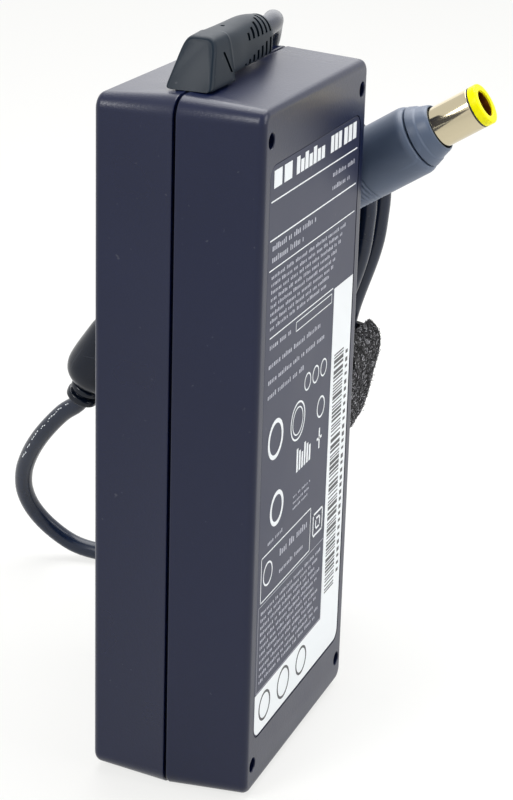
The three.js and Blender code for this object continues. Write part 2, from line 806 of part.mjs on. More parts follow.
function cordBoot() {
  const upright = (x, footZ, ridgeZ, footHalf, ridgeHalf, archPower, footPower) => ({
    footX: x,
    ridgeX: x,
    footZ,
    ridgeZ,
    footHalf,
    ridgeHalf,
    archPower,
    footPower,
  });
  const leaning = (back, drop, narrow) => ({
    footX: bootFrontX + back,
    ridgeX: bootFrontX + bootLean + back,
    footZ: bootFootZ,
    ridgeZ: bootRidgeZ - drop,
    footHalf: bootHalfWidth - narrow,
    ridgeHalf: bootRidgeHalfWidth - narrow,
    archPower: 5,
    footPower: 14,
  });
  const body = loft(
    [
      leaning(0, 0.9, 0.5),
      leaning(0.4, 0.35, 0.15),
      leaning(1.4, 0.05, 0),
      upright(bootRearX, bootFootZ, bootRidgeZ + 0.1, bootHalfWidth, 2.9, 5, 14),
      upright(bootRearX + 0.4, sleeveFootZ, bootRidgeZ + 0.1, bootHalfWidth - 0.3, 2.9, 4, 8),
      upright(bootRearX + 4, sleeveFootZ, bootRidgeZ + 0.2, sleeveHalfWidth + 0.5, 3.1, 3, 8),
      upright(slotStartX, sleeveFootZ, bootRidgeZ + 0.4, sleeveHalfWidth + 0.2, 3.2, 2.4, 8),
      upright(slotStartX + 3 * slotPitch, sleeveFootZ, sleeveRidgeZ, sleeveHalfWidth, 3.3, 2.2, 8),
      upright(sleeveEndX, sleeveFootZ, sleeveRidgeZ - 0.6, sleeveEndHalfWidth, sleeveEndHalfWidth, 2, 7),
    ].map(bootRing),
  );
  const neckHalf = neckWidth / 2;
  const flangeTopZ = topZ - wall - draftAt(seamY + neckHalf + neckFlangeReach) - seatClearance;
  const neck = block(
    [neckX, seamY - neckHalf, flangeTopZ - 1],
    [neckX + neckLength, seamY + neckHalf, topZ + 2],
  );
  const flange = block(
    [neckX, seamY - neckHalf - neckFlangeReach, flangeTopZ - neckFlangeThickness],
    [neckX + neckLength + neckFlangeReach, seamY + neckHalf + neckFlangeReach, flangeTopZ],
  );
  const slots = Array.from({ length: slotCount }, (_, i) => slotStartX + i * slotPitch).flatMap((x) =>
    [-1, 1].map((side) => {
      const edges = [seamY + side * slotRootHalfWidth, seamY + side * (bootHalfWidth + 1)];
      return block(
        [x, Math.min(...edges), sleeveRidgeZ - slotReachZ],
        [x + slotWidth, Math.max(...edges), sleeveRidgeZ + 1],
      );
    }),
  );
  return carve(body, { add: [neck, flange], cut: slots });
}

// An output wire from under the boot's flange to the board's front.
function outputWire(x) {
  const flangeHalf = neckWidth / 2 + neckFlangeReach;
  const flangeFootZ = topZ - wall - draftAt(seamY + flangeHalf) - seatClearance - neckFlangeThickness;
  const startZ = flangeFootZ - seatClearance;
  const endZ = boardTopZ - wireRadius - flatClearance - 0.4;
  const endY = boardFrontY - seatClearance;
  const points = [
    [x, seamY, startZ],
    [x, seamY, startZ - 1.7],
    [x, seamY + 1.6, endZ + 1.9],
    [x, endY - 3.6, endZ],
    [x, endY, endZ],
  ];
  return tubeAlong(points, wireRadius, 1.6, 6);
}

place("cord_boot", cordBoot(), blackRubber);
const outputWireX = neckX + outputWireInset;
place("dc_wire_positive", outputWire(outputWireX), redInsulation);
place("dc_wire_return", outputWire(outputWireX + outputWireSpacing), blackPlastic);

// ---------------------------------------------------------------- the output cord

const cordRadius = cordDiameter / 2;
const hankOuterRadius = hankFoldRadius + hankLoopPitch;
const hankLowZ = cordRadius + hankOuterRadius + hankFloorGap;
const hankHighZ = hankLowZ + hankRun;
const hankStartReach = hankOuterRadius + hankLoopPitch / 2; // of the first and the last run
const hankBackX = hankFrontX + 3 * hankLayerPitch;

// The hank and its strap are drawn upright, and then lean about the hank's middle, down to the floor again.
const leaningGroup = new THREE.Group();
const uprightGroup = new THREE.Group();
leaningGroup.add(uprightGroup);
leaningGroup.rotation.x = THREE.MathUtils.degToRad(hankLean);
const hankMiddleZ = (hankLowZ + hankHighZ) / 2;
const leanDrop = (hankRun / 2) * (1 - Math.cos(leaningGroup.rotation.x));
leaningGroup.position.set(0, hankCentreY, hankMiddleZ - leanDrop);
uprightGroup.position.set(0, -hankCentreY, -hankMiddleZ);
adapter.add(leaningGroup);
leaningGroup.updateMatrixWorld(true);

// Places on the line that the hank's first and last runs carry on, past its ends.
function beyondHank(x, z) {
  return uprightGroup.localToWorld(new THREE.Vector3(x, hankCentreY + hankStartReach, z)).toArray();
}

// The radius of each fold: the loops spiral in, out, in and out again, one layer after another.
const hankRings = [2, 1, 0, 0, 1, 2, 2, 1, 0, 0, 1, 2];
const hankFolds = hankRings.map((ring) => hankFoldRadius + (ring * hankLoopPitch) / 2);

// The middle line of the hank. Even runs go down on +Y, odd ones up on -Y, a fold turns each into
// the next, every third run climbs a layer, and the waist draws them all in.
function hankLine() {
  const points = [];
  const runSteps = 6;
  const foldSteps = 6;
  const radii = [hankStartReach, ...hankFolds, hankStartReach];
  const addRunPoint = (run, share) => {
    const down = run % 2 === 0;
    const z = down ? hankHighZ - share * hankRun : hankLowZ + share * hankRun;
    const blend = THREE.MathUtils.smoothstep(share, 0.06, 0.94);
    const fromWaist = Math.abs(z - hankMiddleZ) - hankWaistHalfHeight;
    const drawn = hankWaistDraw * (1 - THREE.MathUtils.smoothstep(fromWaist, 0, hankWaistRamp));
    const reach = THREE.MathUtils.lerp(radii[run], radii[run + 1], blend) - drawn;
    const climbing = run > 0 && run % 3 === 0 && run < hankFolds.length;
    const layer = Math.floor((run - 1) / 3) + (climbing ? blend : 0);
    const x = hankFrontX + THREE.MathUtils.clamp(layer, 0, 3) * hankLayerPitch;
    points.push(new THREE.Vector3(x, hankCentreY + (down ? reach : -reach), z));
  };
  for (let run = 0; run <= hankFolds.length; run++) {
    for (let step = 0; step <= runSteps; step++) addRunPoint(run, step / runSteps);
    if (run === 0) {
      addRunPoint(0, cordDiameter / hankRun);
      points.splice(1, 0, points.pop());
    }
    if (run === hankFolds.length) {
      const last = points.pop();
      addRunPoint(run, 1 - cordDiameter / hankRun);
      points.push(last);
      break;
    }
    const { x, y, z } = points[points.length - 1];
    const turn = Math.sign(y - hankCentreY);
    const radius = hankFolds[run];
    for (let step = 1; step < foldSteps; step++) {
      const angle = (step / foldSteps) * Math.PI;
      const fromFold = turn * radius;
      points.push(
        new THREE.Vector3(x, hankCentreY + fromFold * Math.cos(angle), z - fromFold * Math.sin(angle)),
      );
    }
  }
  return points;
}

// One unbroken six-sided tube along the hank's middle line.
function hankTube(line) {
  const sides = 6;
  const rings = line.map((centre, i) => {
    const before = line[Math.max(i - 1, 0)];
    const after = line[Math.min(i + 1, line.length - 1)];
    const along = after.clone().sub(before).normalize();
    const across = new THREE.Vector3(1, 0, 0).addScaledVector(along, -along.x).normalize();
    const beside = along.clone().cross(across);
    return Array.from({ length: sides }, (_, side) => {
      const angle = (side / sides) * Math.PI * 2;
      return centre
        .clone()
        .addScaledVector(across, cordRadius * Math.cos(angle))
        .addScaledVector(beside, cordRadius * Math.sin(angle));
    });
  });
  return loft(rings);
}

// The least gap between stretches of the hank that aren't neighbours along the cord.
function leastGap(line) {
  const samples = [];
  let travelled = 0;
  for (let i = 0; i + 1 < line.length; i++) {
    const length = line[i].distanceTo(line[i + 1]);
    const pieces = Math.ceil(length / 1.5);
    for (let piece = 0; piece < pieces; piece++) {
      const share = piece / pieces;
      samples.push([line[i].clone().lerp(line[i + 1], share), travelled + share * length]);
    }
    travelled += length;
  }
  let least = Infinity;
  samples.forEach(([point, along], i) => {
    for (const [other, otherAlong] of samples.slice(i + 1)) {
      if (otherAlong - along > 4 * cordDiameter) least = Math.min(least, point.distanceTo(other));
    }
  });
  return { gap: least - cordDiameter, length: travelled };
}

const hank = hankLine();
const { gap, length } = leastGap(hank);
console.log(`hank: ${length.toFixed(0)} mm of cord, least gap to itself ${gap.toFixed(2)} mm`);

const cordStep = 2.15 * cordDiameter;
const leadPoints = [
  [sleeveEndX + seatClearance, seamY, cordExitZ],
  [13.3, seamY, cordExitZ + 0.05],
  [17.8, 0.8, 132.1],
  [22.6, 2.4, 131.6],
  [27, 4.2, 129.7],
  [30.2, 6, 126],
  [32.2, 9.4, 121],
  [35, 14.6, 115.8],
  [38.6, 19.8, 110.8],
  [41.8, 23.7, 105.6],
  beyondHank(hankFrontX, hankHighZ + 4),
  beyondHank(hankFrontX, hankHighZ + seatClearance),
];
const tailPoints = [
  beyondHank(hankBackX, hankLowZ - seatClearance),
  beyondHank(hankBackX, hankLowZ - 4),
  [57, 34.6, 11.2],
  [57.2, 37.2, 6.6],
  [57.4, 41.4, 3.5],
  [57.4, 46.8, 2.1],
  [57, 52.6, 2.05],
  [56, 58.8, 3.3],
  [54, 64, 7.4],
  [51.6, 67, 12.4],
  [49.2, 67.8, 17.6],
  [47, 66.8, 22.8],
  [45, 64.4, 28],
  [43, 60.8, 33.4],
  [41.6, 56.6, 38.4],
  [40.8, 53.6, 41.4],
  [40.08, 49.85, 44.4],
  [39.3, 45.5, 53.1],
  [38.6, 41.65, 60.8],
  [37.9, 37.8, 68.5],
  [37.1, 32.5, 77.3],
  [36, 25.6, 83.8],
  [35, 17.5, 87.4],
];

place("dc_cord_lead", tubeAlong(leadPoints, cordRadius, cordStep), blackRubber);
place("dc_cord_hank", hankTube(hank), blackRubber, uprightGroup);

// ---------------------------------------------------------------- the strap round the hank

// How far the hank's outer side reaches in Y, between the strap's two edges.
function hankReachY(side) {
  const from = strapLowZ - hankWaistHalfHeight;
  const to = strapLowZ + strapWidth + hankWaistHalfHeight;
  const near = hank.filter(({ z }) => z > from && z < to).map(({ y }) => side * y);
  return side * (Math.max(...near) + cordRadius + seatClearance);
}

function cableStrap() {
  const lowX = hankFrontX - cordRadius - seatClearance;
  const highX = hankBackX + cordRadius + seatClearance;
  const [lowY, highY] = [hankReachY(-1), hankReachY(1)];
  const t = strapThickness;
  const outline = roundedRectangle(lowX - t, lowY - t, highX + t, highY + t, strapCornerRadius + t);
  outline.holes.push(roundedRectangle(lowX, lowY, highX, highY, strapCornerRadius));
  const band = new THREE.ExtrudeGeometry(outline, {
    depth: strapWidth,
    bevelEnabled: false,
    curveSegments: 3,
  });
  // The loose end: a thin plate that leaves the band at its lower edge and leans away upwards.
  const rootY = lowY - t / 2;
  const tipY = lowY - t - strapTailLift;
  const highZ = strapLowZ + strapWidth;
  const curledY = tipY + strapTailCurl;
  const side = [
    [rootY, strapLowZ],
    [tipY, highZ - strapTailBend],
    [tipY, highZ - strapTailBend / 3],
    [curledY, highZ + strapTailRise],
    [curledY + strapTailThickness / 2, highZ + strapTailRise / 2],
    [tipY + strapTailThickness, highZ - strapTailBend / 2],
    [tipY + strapTailThickness, highZ - strapTailBend],
    [rootY + strapTailThickness / 3, strapLowZ + 4],
  ];
  const plate = new THREE.Shape(side.map(([y, z]) => new THREE.Vector2(y, z)));
  const tail = new THREE.ExtrudeGeometry(plate, {
    depth: highX - lowX - 2 * strapTailInset,
    bevelEnabled: false,
  })
    .rotateY(Math.PI / 2)
    .rotateX(Math.PI / 2)
    .translate(lowX + strapTailInset, 0, 0);
  return carve(band.translate(0, 0, strapLowZ), { add: [tail] });
}

place("cable_strap", cableStrap(), strapFabric, uprightGroup);

// ---------------------------------------------------------------- the ferrite sleeve on the cord

const ferriteGroup = new THREE.Group();
ferriteGroup.position.set(...ferriteStart);
ferriteGroup.quaternion.setFromUnitVectors(
  new THREE.Vector3(0, 0, 1),
  new THREE.Vector3(...ferriteAxis).normalize(),
);
adapter.add(ferriteGroup);

function ferriteJacket() {
  const outside = [
    [ferriteNeckRadius, 0],
    [ferriteNeckRadius, 1.5],
    [ferriteGrooveRadius, 1.7],
    [ferriteGrooveRadius, 2.3],
    [ferriteRidgeRadius, 2.5],
    [ferriteRidgeRadius, 3.5],
    [ferriteGrooveRadius, 3.7],
    [ferriteGrooveRadius, 4.1],
    [ferriteRidgeRadius + 0.4, 4.3],
    [ferriteRadius - 1.3, 5.2],
    [ferriteRadius - 0.4, 6.3],
    [ferriteRadius, 8],
    [ferriteRadius, 9.5],
    [ferriteRadius - 0.3, 12],
    [ferriteRadius - 0.8, 15],
    [ferriteRadius - 1.4, 19],
    [ferriteRadius - 2.5, 22],
    [ferriteGrooveRadius + 0.4, ferriteLength],
  ];
  const roomLow = ferriteCoreStart - seatClearance;
  const roomHigh = ferriteCoreStart + ferriteCoreLength + seatClearance;
  const roomRadius = ferriteCoreRadius + seatClearance;
  const inside = [
    [ferriteBoreRadius, ferriteLength],
    [ferriteBoreRadius, roomHigh],
    [roomRadius, roomHigh],
    [roomRadius, roomLow],
    [ferriteBoreRadius, roomLow],
    [ferriteBoreRadius, 0],
  ];
  return turned([...outside, ...inside, outside[0]]);
}

place("ferrite_jacket", ferriteJacket(), blackRubber, ferriteGroup);
place(
  "ferrite_core",
  pipe(ferriteCoreRadius, ferriteBoreRadius, ferriteCoreStart, ferriteCoreStart + ferriteCoreLength),
  ferriteGrey,
  ferriteGroup,
);

// ---------------------------------------------------------------- the plug, about its own Z

const plugGroup = new THREE.Group();
plugGroup.position.set(...plugRim);
plugGroup.rotation.x = THREE.MathUtils.degToRad(plugTilt);
adapter.add(plugGroup);

const gripTop = -collarLength - seatClearance;
const gripFoot = gripTop - gripLength;
const reliefFoot = gripFoot - reliefLength;
const barrelInside = plugBarrelRadius - plugBarrelWall;
const tipSleeveRadius = barrelInside - seatClearance;
const tipBoreRadius = tipSleeveRadius - plugTipWall;
const contactRadius = tipBoreRadius - seatClearance;
const coreTop = -plugBarrelSeat + plugCoreThickness;

function plugTip() {
  const sleeveFoot = coreTop + seatClearance;
  const faceZ = plugBarrelReach + plugTipLength;
  return turned([
    [tipBoreRadius, sleeveFoot],
    [tipSleeveRadius, sleeveFoot],
    [tipSleeveRadius, plugBarrelReach + seatClearance],
    [plugBarrelRadius, plugBarrelReach + seatClearance],
    [plugBarrelRadius, faceZ - 0.2],
    [plugBarrelRadius - 0.2, faceZ],
    [plugMouthRadius, faceZ],
    [plugMouthRadius, plugBarrelReach + seatClearance],
    [tipBoreRadius, plugBarrelReach + seatClearance],
    [tipBoreRadius, sleeveFoot],
  ]);
}

function plugCollar() {
  const holeRadius = plugBarrelRadius + seatClearance;
  const seatZ = -plugBarrelSeat - seatClearance;
  return turned([
    [0, -collarLength],
    [collarRadius, -collarLength],
    [collarRadius - collarTaper, -collarLength * 0.62],
    [collarRadius - collarTaper - collarStep, -collarLength * 0.55],
    [collarRimRadius + 0.2, -0.3],
    [collarRimRadius, 0],
    [holeRadius, 0],
    [holeRadius, seatZ],
    [0, seatZ],
  ]);
}

function plugGrip() {
  // The strain relief widens slowly at first: each pair is a share of its radius's growth and its length.
  const flare = [
    [0, 0],
    [0.13, 0.17],
    [0.33, 0.42],
    [0.63, 0.75],
    [1, 1],
  ].map(([growth, rise]) => [
    THREE.MathUtils.lerp(reliefRadius, gripRearRadius, growth),
    THREE.MathUtils.lerp(reliefFoot, gripFoot, rise),
  ]);
  return turned([
    [0, reliefFoot],
    ...flare,
    [gripRadius - 0.35, gripFoot + 2],
    [gripRadius, gripFoot + 5],
    [gripRadius, gripTop - gripShoulder],
    [gripRadius - gripShoulder * 0.12, gripTop - gripShoulder * 0.5],
    [gripRadius - gripShoulder * 0.36, gripTop - gripShoulder * 0.1],
    [gripRadius - gripShoulder * 0.5, gripTop],
    [0, gripTop],
  ]);
}

// The insulating base that the contact stands on and the centre pin passes through.
function plugCore() {
  return pipe(tipSleeveRadius, plugPinRadius + seatClearance / 2, -plugBarrelSeat, coreTop);
}

place("plug_grip", plugGrip(), greyRubber, plugGroup);
place("plug_collar", plugCollar(), greyRubber, plugGroup);
place(
  "plug_barrel",
  pipe(plugBarrelRadius, barrelInside, -plugBarrelSeat, plugBarrelReach),
  goldMetal,
  plugGroup,
);
place("plug_tip_ring", plugTip(), yellowPlastic, plugGroup);
place("plug_core", plugCore(), blackPlastic, plugGroup);
place(
  "plug_contact",
  pipe(contactRadius, contactRadius - plugContactWall, coreTop + seatClearance, plugBarrelReach),
  goldMetal,
  plugGroup,
);
const pinTipZ = plugBarrelReach + plugTipLength - plugPinSink;
place(
  "plug_centre_pin",
  rodAlongZ(0, 0, -plugBarrelSeat, pinTipZ, plugPinRadius),
  goldMetal,
  plugGroup,
);

// The cord's last stretch runs through the ferrite and meets the plug's strain relief head on.
plugGroup.updateMatrixWorld(true);
const plugEntry = [reliefFoot - 4, reliefFoot - seatClearance].map((z) =>
  plugGroup.localToWorld(new THREE.Vector3(0, 0, z)).toArray(),
);
place("dc_cord_tail", tubeAlong([...tailPoints, ...plugEntry], cordRadius, cordStep), blackRubber);

export default adapter;
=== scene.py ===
"""Looks of a laptop power adapter that stands on its inlet end, with its cord in a strapped hank.

Sizes are in millimetres and turned into metres where a mesh is made. +Z is up, the label faces -Y.
"""
import json
import math

import bpy
import numpy as np
from mathutils import Matrix, Vector


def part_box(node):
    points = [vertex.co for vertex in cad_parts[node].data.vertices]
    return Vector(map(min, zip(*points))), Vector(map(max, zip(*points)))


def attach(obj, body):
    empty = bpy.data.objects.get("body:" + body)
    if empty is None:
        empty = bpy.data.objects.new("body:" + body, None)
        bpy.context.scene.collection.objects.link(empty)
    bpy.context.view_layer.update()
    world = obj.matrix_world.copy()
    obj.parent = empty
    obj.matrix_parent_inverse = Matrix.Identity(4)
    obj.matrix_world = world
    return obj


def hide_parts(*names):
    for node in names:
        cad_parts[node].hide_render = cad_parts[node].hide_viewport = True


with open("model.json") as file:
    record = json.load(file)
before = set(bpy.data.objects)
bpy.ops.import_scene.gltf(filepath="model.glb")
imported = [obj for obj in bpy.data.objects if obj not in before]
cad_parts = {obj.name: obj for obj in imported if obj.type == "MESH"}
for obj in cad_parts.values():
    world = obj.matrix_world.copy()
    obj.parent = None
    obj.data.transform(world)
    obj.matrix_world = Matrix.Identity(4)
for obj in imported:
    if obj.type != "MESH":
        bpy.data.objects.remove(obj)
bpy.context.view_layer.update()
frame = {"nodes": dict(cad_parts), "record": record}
MM = 0.001
ROOT = "root"

# ---------------------------------------------------------------- sizes repeated from the construction

CASE_WIDTH = 53.6
CASE_HEIGHT = 127.0
CASE_THICKNESS = 30.2
FACE_Y = CASE_THICKNESS / 2
SIDE_X = CASE_WIDTH / 2
SEAM_Y = 0.3
SEAM_GAP = 0.5
DRAFT = 0.069
CORNER_R = 3.6
EDGE_R = 1.3
WALL = 2.2
FIT = 0.3  # what an opening is wider than its piece, on each side

SCREW_PLACES = [(-22.6, 120.7), (22.6, 120.7), (-22.6, 6.3), (22.6, 6.3)]
SCREW_HEAD_R = 1.3
SCREW_HEAD_HEIGHT = 1.5
SCREW_SHANK_R = 0.95
SCREW_REACH = 22.2
SCREW_SEAT_Y = -12.0
SCREW_HOLE_R = 1.36
POST_R = 2.7
POST_TOP_Y = 1.9

LABEL_HALF_X = 22.6
LABEL_LOW_Z = 11.1
LABEL_HIGH_Z = 116.3
LABEL_R = 2.4
LABEL_FRONT_Y = -15.05
LABEL_THICKNESS = 0.3
LABEL_RECESS = 0.4
LABEL_GAP = 0.15

INLET_HALF_X = 10.0
INLET_HALF_Y = 7.0
INLET_DEPTH = 17.0
SOCKET_SPAN = 3.4
SOCKET_R = 4.4
SOCKET_DEPTH = 13.0
PIN_X = 4.25
PIN_R = 1.18
PIN_START_Z = 3.0
PIN_END_Z = 21.0

CORD_R = 1.9
HANK_RUN = 74.0
HANK_FOLD_R = 11.4
HANK_LOOP_PITCH = 5.2
HANK_LAYER_PITCH = 4.5
HANK_WAIST = 3.0
HANK_WAIST_HALF = 10.0
HANK_WAIST_RAMP = 22.0
HANK_CENTRE_Y = 10.8
HANK_LEAN = math.radians(5)
HANK_FRONT_X = 43.5
HANK_FOLD_RINGS = [2, 1, 0, 0, 1, 2, 2, 1, 0, 0, 1, 2]
HANK_RUNS_A_LAYER = 3
HANK_BACK_LAYER = 3
HANK_BACK_X = HANK_FRONT_X + HANK_BACK_LAYER * HANK_LAYER_PITCH
HANK_LOW_Z = CORD_R + HANK_FOLD_R + HANK_LOOP_PITCH + 0.05
HANK_HIGH_Z = HANK_LOW_Z + HANK_RUN
HANK_MIDDLE_Z = (HANK_LOW_Z + HANK_HIGH_Z) / 2
HANK_START_REACH = HANK_FOLD_R + 1.5 * HANK_LOOP_PITCH
LEAN_DROP = HANK_RUN / 2 * (1 - math.cos(HANK_LEAN))
HANK_FRAME = (
    Matrix.Translation((0, HANK_CENTRE_Y, HANK_MIDDLE_Z - LEAN_DROP))
    @ Matrix.Rotation(HANK_LEAN, 4, "X")
    @ Matrix.Translation((0, -HANK_CENTRE_Y, -HANK_MIDDLE_Z))
)

STRAP_LOW_Z = 43.5
STRAP_HIGH_Z = 65.5
STRAP_THICK = 1.7
STRAP_CORNER_R = 1.2
STRAP_GAP = 0.3
TAIL_HALF_THICK = 0.65

BOOT_FRONT_X = -21.3
BOOT_LEAN = 4.7
BOOT_REAR_X = -11.2
BOOT_HALF = 4.35
BOOT_RIDGE_HALF = 2.7
BOOT_FOOT_Z = CASE_HEIGHT + 0.05
BOOT_RIDGE_Z = CASE_HEIGHT + 8.2
SLEEVE_FOOT_Z = CASE_HEIGHT + 1.1
SLEEVE_RIDGE_Z = BOOT_RIDGE_Z + 0.5
SLEEVE_END_X = 9.0
SLEEVE_END_HALF = 3.2
SLEEVE_ARCH_R = 3.35
SLOT_START_X = -3.1
SLOT_PITCH = 2.05
SLOT_WIDTH = 0.9
SLOT_DEPTH = 0.8
NECK_X = BOOT_FRONT_X + 1.8
NECK_LENGTH = 8.0
NECK_HALF = 3.0
CORD_EXIT_Z = CASE_HEIGHT + 5.0

FERRITE_START = (40.08, 49.85, 44.4)
FERRITE_AXIS = (-0.081, -0.446, 0.891)
FERRITE_TURN = Vector((0, 0, 1)).rotation_difference(Vector(FERRITE_AXIS))
FERRITE_FRAME = Matrix.Translation(FERRITE_START) @ FERRITE_TURN.to_matrix().to_4x4()

PLUG_RIM = (34.4, -26.6, 112.7)
PLUG_TILT = math.radians(57.27)
PLUG_FRAME = Matrix.Translation(PLUG_RIM) @ Matrix.Rotation(PLUG_TILT, 4, "X")
PLUG_BARREL_R = 3.95
PLUG_BARREL_WALL = 0.4
PLUG_BARREL_REACH = 8.1
PLUG_BARREL_SEAT = 3.0
PLUG_TIP_LENGTH = 1.9
PLUG_MOUTH_R = 2.55
COLLAR_LENGTH = 4.0
COLLAR_RIM_R = 4.45
COLLAR_SEAT = 3.3
GRIP_R = 6.65
GRIP_TOP = -COLLAR_LENGTH - 0.3
GRIP_FOOT = GRIP_TOP - 25.0
RELIEF_FOOT = GRIP_FOOT - 12.0
AXIS_GAP = 0.05  # the least radius of a turned piece that is closed at its axis

# ---------------------------------------------------------------- nodes


def feed(tree, socket, value):
    """Links another node's output to a socket, or sets it to a number, a vector or an opaque colour."""
    if isinstance(value, bpy.types.NodeSocket):
        tree.links.new(value, socket)
    elif socket.type == "RGBA":
        socket.default_value = (*value, 1.0)
    else:
        socket.default_value = value


def add_node(tree, kind, inputs=(), **settings):
    """A shader node with its settings, and with its inputs fed by name or number."""
    node = tree.nodes.new("ShaderNode" + kind)
    for name, value in settings.items():
        setattr(node, name, value)
    for label, value in dict(inputs).items():
        feed(tree, node.inputs[label], value)
    return node


def math_node(tree, operation, *values):
    """The result of one Math node on numbers and other nodes' outputs."""
    return add_node(tree, "Math", enumerate(values), operation=operation).outputs[0]


def noise(tree, vector, scale, detail, roughness):
    """A noise between 0 and 1 that changes with the place."""
    inputs = {"Vector": vector, "Scale": scale, "Detail": detail, "Roughness": roughness}
    return add_node(tree, "TexNoise", inputs).outputs["Fac"]


def map_range(tree, value, given, wanted):
    """A value's stretch between the given ends carried over to the wanted ones, and held past them."""
    ends = zip(("From Min", "From Max", "To Min", "To Max"), (*given, *wanted))
    return add_node(tree, "MapRange", {"Value": value, **dict(ends)}).outputs[0]


def mix_color(tree, share, first, second):
    """A colour that goes from the first to the second as share goes from 0 to 1."""
    return add_node(tree, "Mix", {0: share, 6: first, 7: second}, data_type="RGBA").outputs[2]


def seen_directly(tree):
    """1 where the camera sees this surface, straight or in a reflection or through glass, and 0 elsewhere."""
    path = tree.nodes.new("ShaderNodeLightPath")
    mirrored = math_node(tree, "MAXIMUM", path.outputs["Is Camera Ray"], path.outputs["Is Glossy Ray"])
    return math_node(tree, "MAXIMUM", mirrored, path.outputs["Is Transmission Ray"])


# ---------------------------------------------------------------- camera, light and floor

CAMERA_PLACE = (-328.1, -130.0, 197.8)
CAMERA_RIGHT = (0.36521, -0.93050, 0.02823)
CAMERA_UP = (0.31515, 0.15211, 0.93677)
CAMERA_BACK = (-0.87596, -0.33322, 0.34880)
CAMERA_LENS = 93.25
CAMERA_SENSOR = 36.0

# name, place and aim and size in metres, power in watts, spread in degrees
LIGHTS = [
    ("top_softbox", (0.28, 0.02, 0.64), (0.05, 0, 0.05), (0.6, 0.6), 4.9, 180),
    ("back_softbox", (0.70, 0.25, 0.42), (0, 0, 0.12), (0.7, 0.6), 0.7, 180),
    ("front_softbox", (0.12, -0.80, 0.50), (0.05, -0.05, 0.05), (0.6, 0.6), 4.0, 180),
    ("side_fill", (-0.62, 0.30, 0.56), (-0.017, 0, 0.131), (0.35, 0.35), 0.36, 40),
]
AMBIENT = 0.26
FLOOR_REACH = 6.0
FLOOR_WHITE = (0.86, 0.86, 0.85)
BACKDROP_WHITE = (1.0, 1.0, 0.985)
BACKDROP_PLACES = (0.2, 1.2)  # metres from the origin between which the floor turns into the white backdrop
BACKDROP_SHARES = (0.74, 0.98)


def make_camera():
    """The camera at the photograph's place, with its three axes as the columns of its matrix."""
    data = bpy.data.cameras.new("camera")
    data.sensor_width = CAMERA_SENSOR
    data.lens = CAMERA_LENS
    data.clip_start = 0.01
    data.clip_end = 50.0
    camera = bpy.data.objects.new("camera", data)
    bpy.context.scene.collection.objects.link(camera)
    axes = Matrix((CAMERA_RIGHT, CAMERA_UP, CAMERA_BACK)).transposed().to_4x4()
    camera.matrix_world = Matrix.Translation(Vector(CAMERA_PLACE) * MM) @ axes
    bpy.context.scene.camera = camera


def area_light(name, place, aim, size, power, spread):
    """A rectangular soft light that shines from its place towards its aim."""
    data = bpy.data.lights.new(name, "AREA")
    data.shape = "RECTANGLE"
    data.size, data.size_y = size
    data.energy = power
    data.spread = math.radians(spread)
    light = bpy.data.objects.new(name, data)
    bpy.context.scene.collection.objects.link(light)
    light.location = Vector(place)
    light.rotation_euler = (Vector(aim) - Vector(place)).to_track_quat("-Z", "Y").to_euler()


def make_world():
    """White where it is seen directly, and a dimmer white light of strength AMBIENT for all other rays."""
    world = bpy.data.worlds.new("studio")
    bpy.context.scene.world = world
    world.use_nodes = True
    tree = world.node_tree
    tree.nodes.clear()
    strength = math_node(tree, "MULTIPLY_ADD", seen_directly(tree), 1.0 - AMBIENT, AMBIENT)
    background = add_node(tree, "Background", {"Color": (1.0, 1.0, 1.0), "Strength": strength})
    add_node(tree, "OutputWorld", {"Surface": background.outputs[0]})


def make_floor():
    """A matt floor that keeps the shadow, mixed with plain white where it is seen, and more so far off."""
    mesh = bpy.data.meshes.new("floor")
    corners = [(-1, -1, 0), (1, -1, 0), (1, 1, 0), (-1, 1, 0)]
    mesh.from_pydata((np.array(corners) * FLOOR_REACH).tolist(), [], [(0, 1, 2, 3)])
    floor = bpy.data.objects.new("floor", mesh)
    bpy.context.scene.collection.objects.link(floor)
    material = bpy.data.materials.new("floor_white")
    material.use_nodes = True
    tree = material.node_tree
    tree.nodes.clear()
    place = add_node(tree, "TexCoord").outputs["Object"]
    distance = add_node(tree, "VectorMath", {0: place}, operation="LENGTH").outputs["Value"]
    fade = map_range(tree, distance, BACKDROP_PLACES, BACKDROP_SHARES)
    matt = add_node(tree, "BsdfDiffuse", {"Color": FLOOR_WHITE})
    bright = add_node(tree, "Emission", {"Color": BACKDROP_WHITE})
    share = math_node(tree, "MULTIPLY", seen_directly(tree), fade)
    mix = add_node(tree, "MixShader", {0: share, 1: matt.outputs[0], 2: bright.outputs[0]})
    add_node(tree, "OutputMaterial", {"Surface": mix.outputs[0]})
    mesh.materials.append(material)


make_camera()
make_world()
for light in LIGHTS:
    area_light(*light)
make_floor()
bpy.context.scene.view_settings.view_transform = "Standard"

# ---------------------------------------------------------------- node groups that materials share


def new_group(name, inputs, outputs):
    """An empty node group with named sockets, and the nodes that stand for its inputs and its outputs."""
    tree = bpy.data.node_groups.new(name, "ShaderNodeTree")
    for label, kind, value in inputs:
        socket = tree.interface.new_socket(label, in_out="INPUT", socket_type="NodeSocket" + kind)
        if value is not None:
            socket.default_value = value
    for label, kind in outputs:
        tree.interface.new_socket(label, in_out="OUTPUT", socket_type="NodeSocket" + kind)
    return tree, tree.nodes.new("NodeGroupInput"), tree.nodes.new("NodeGroupOutput")


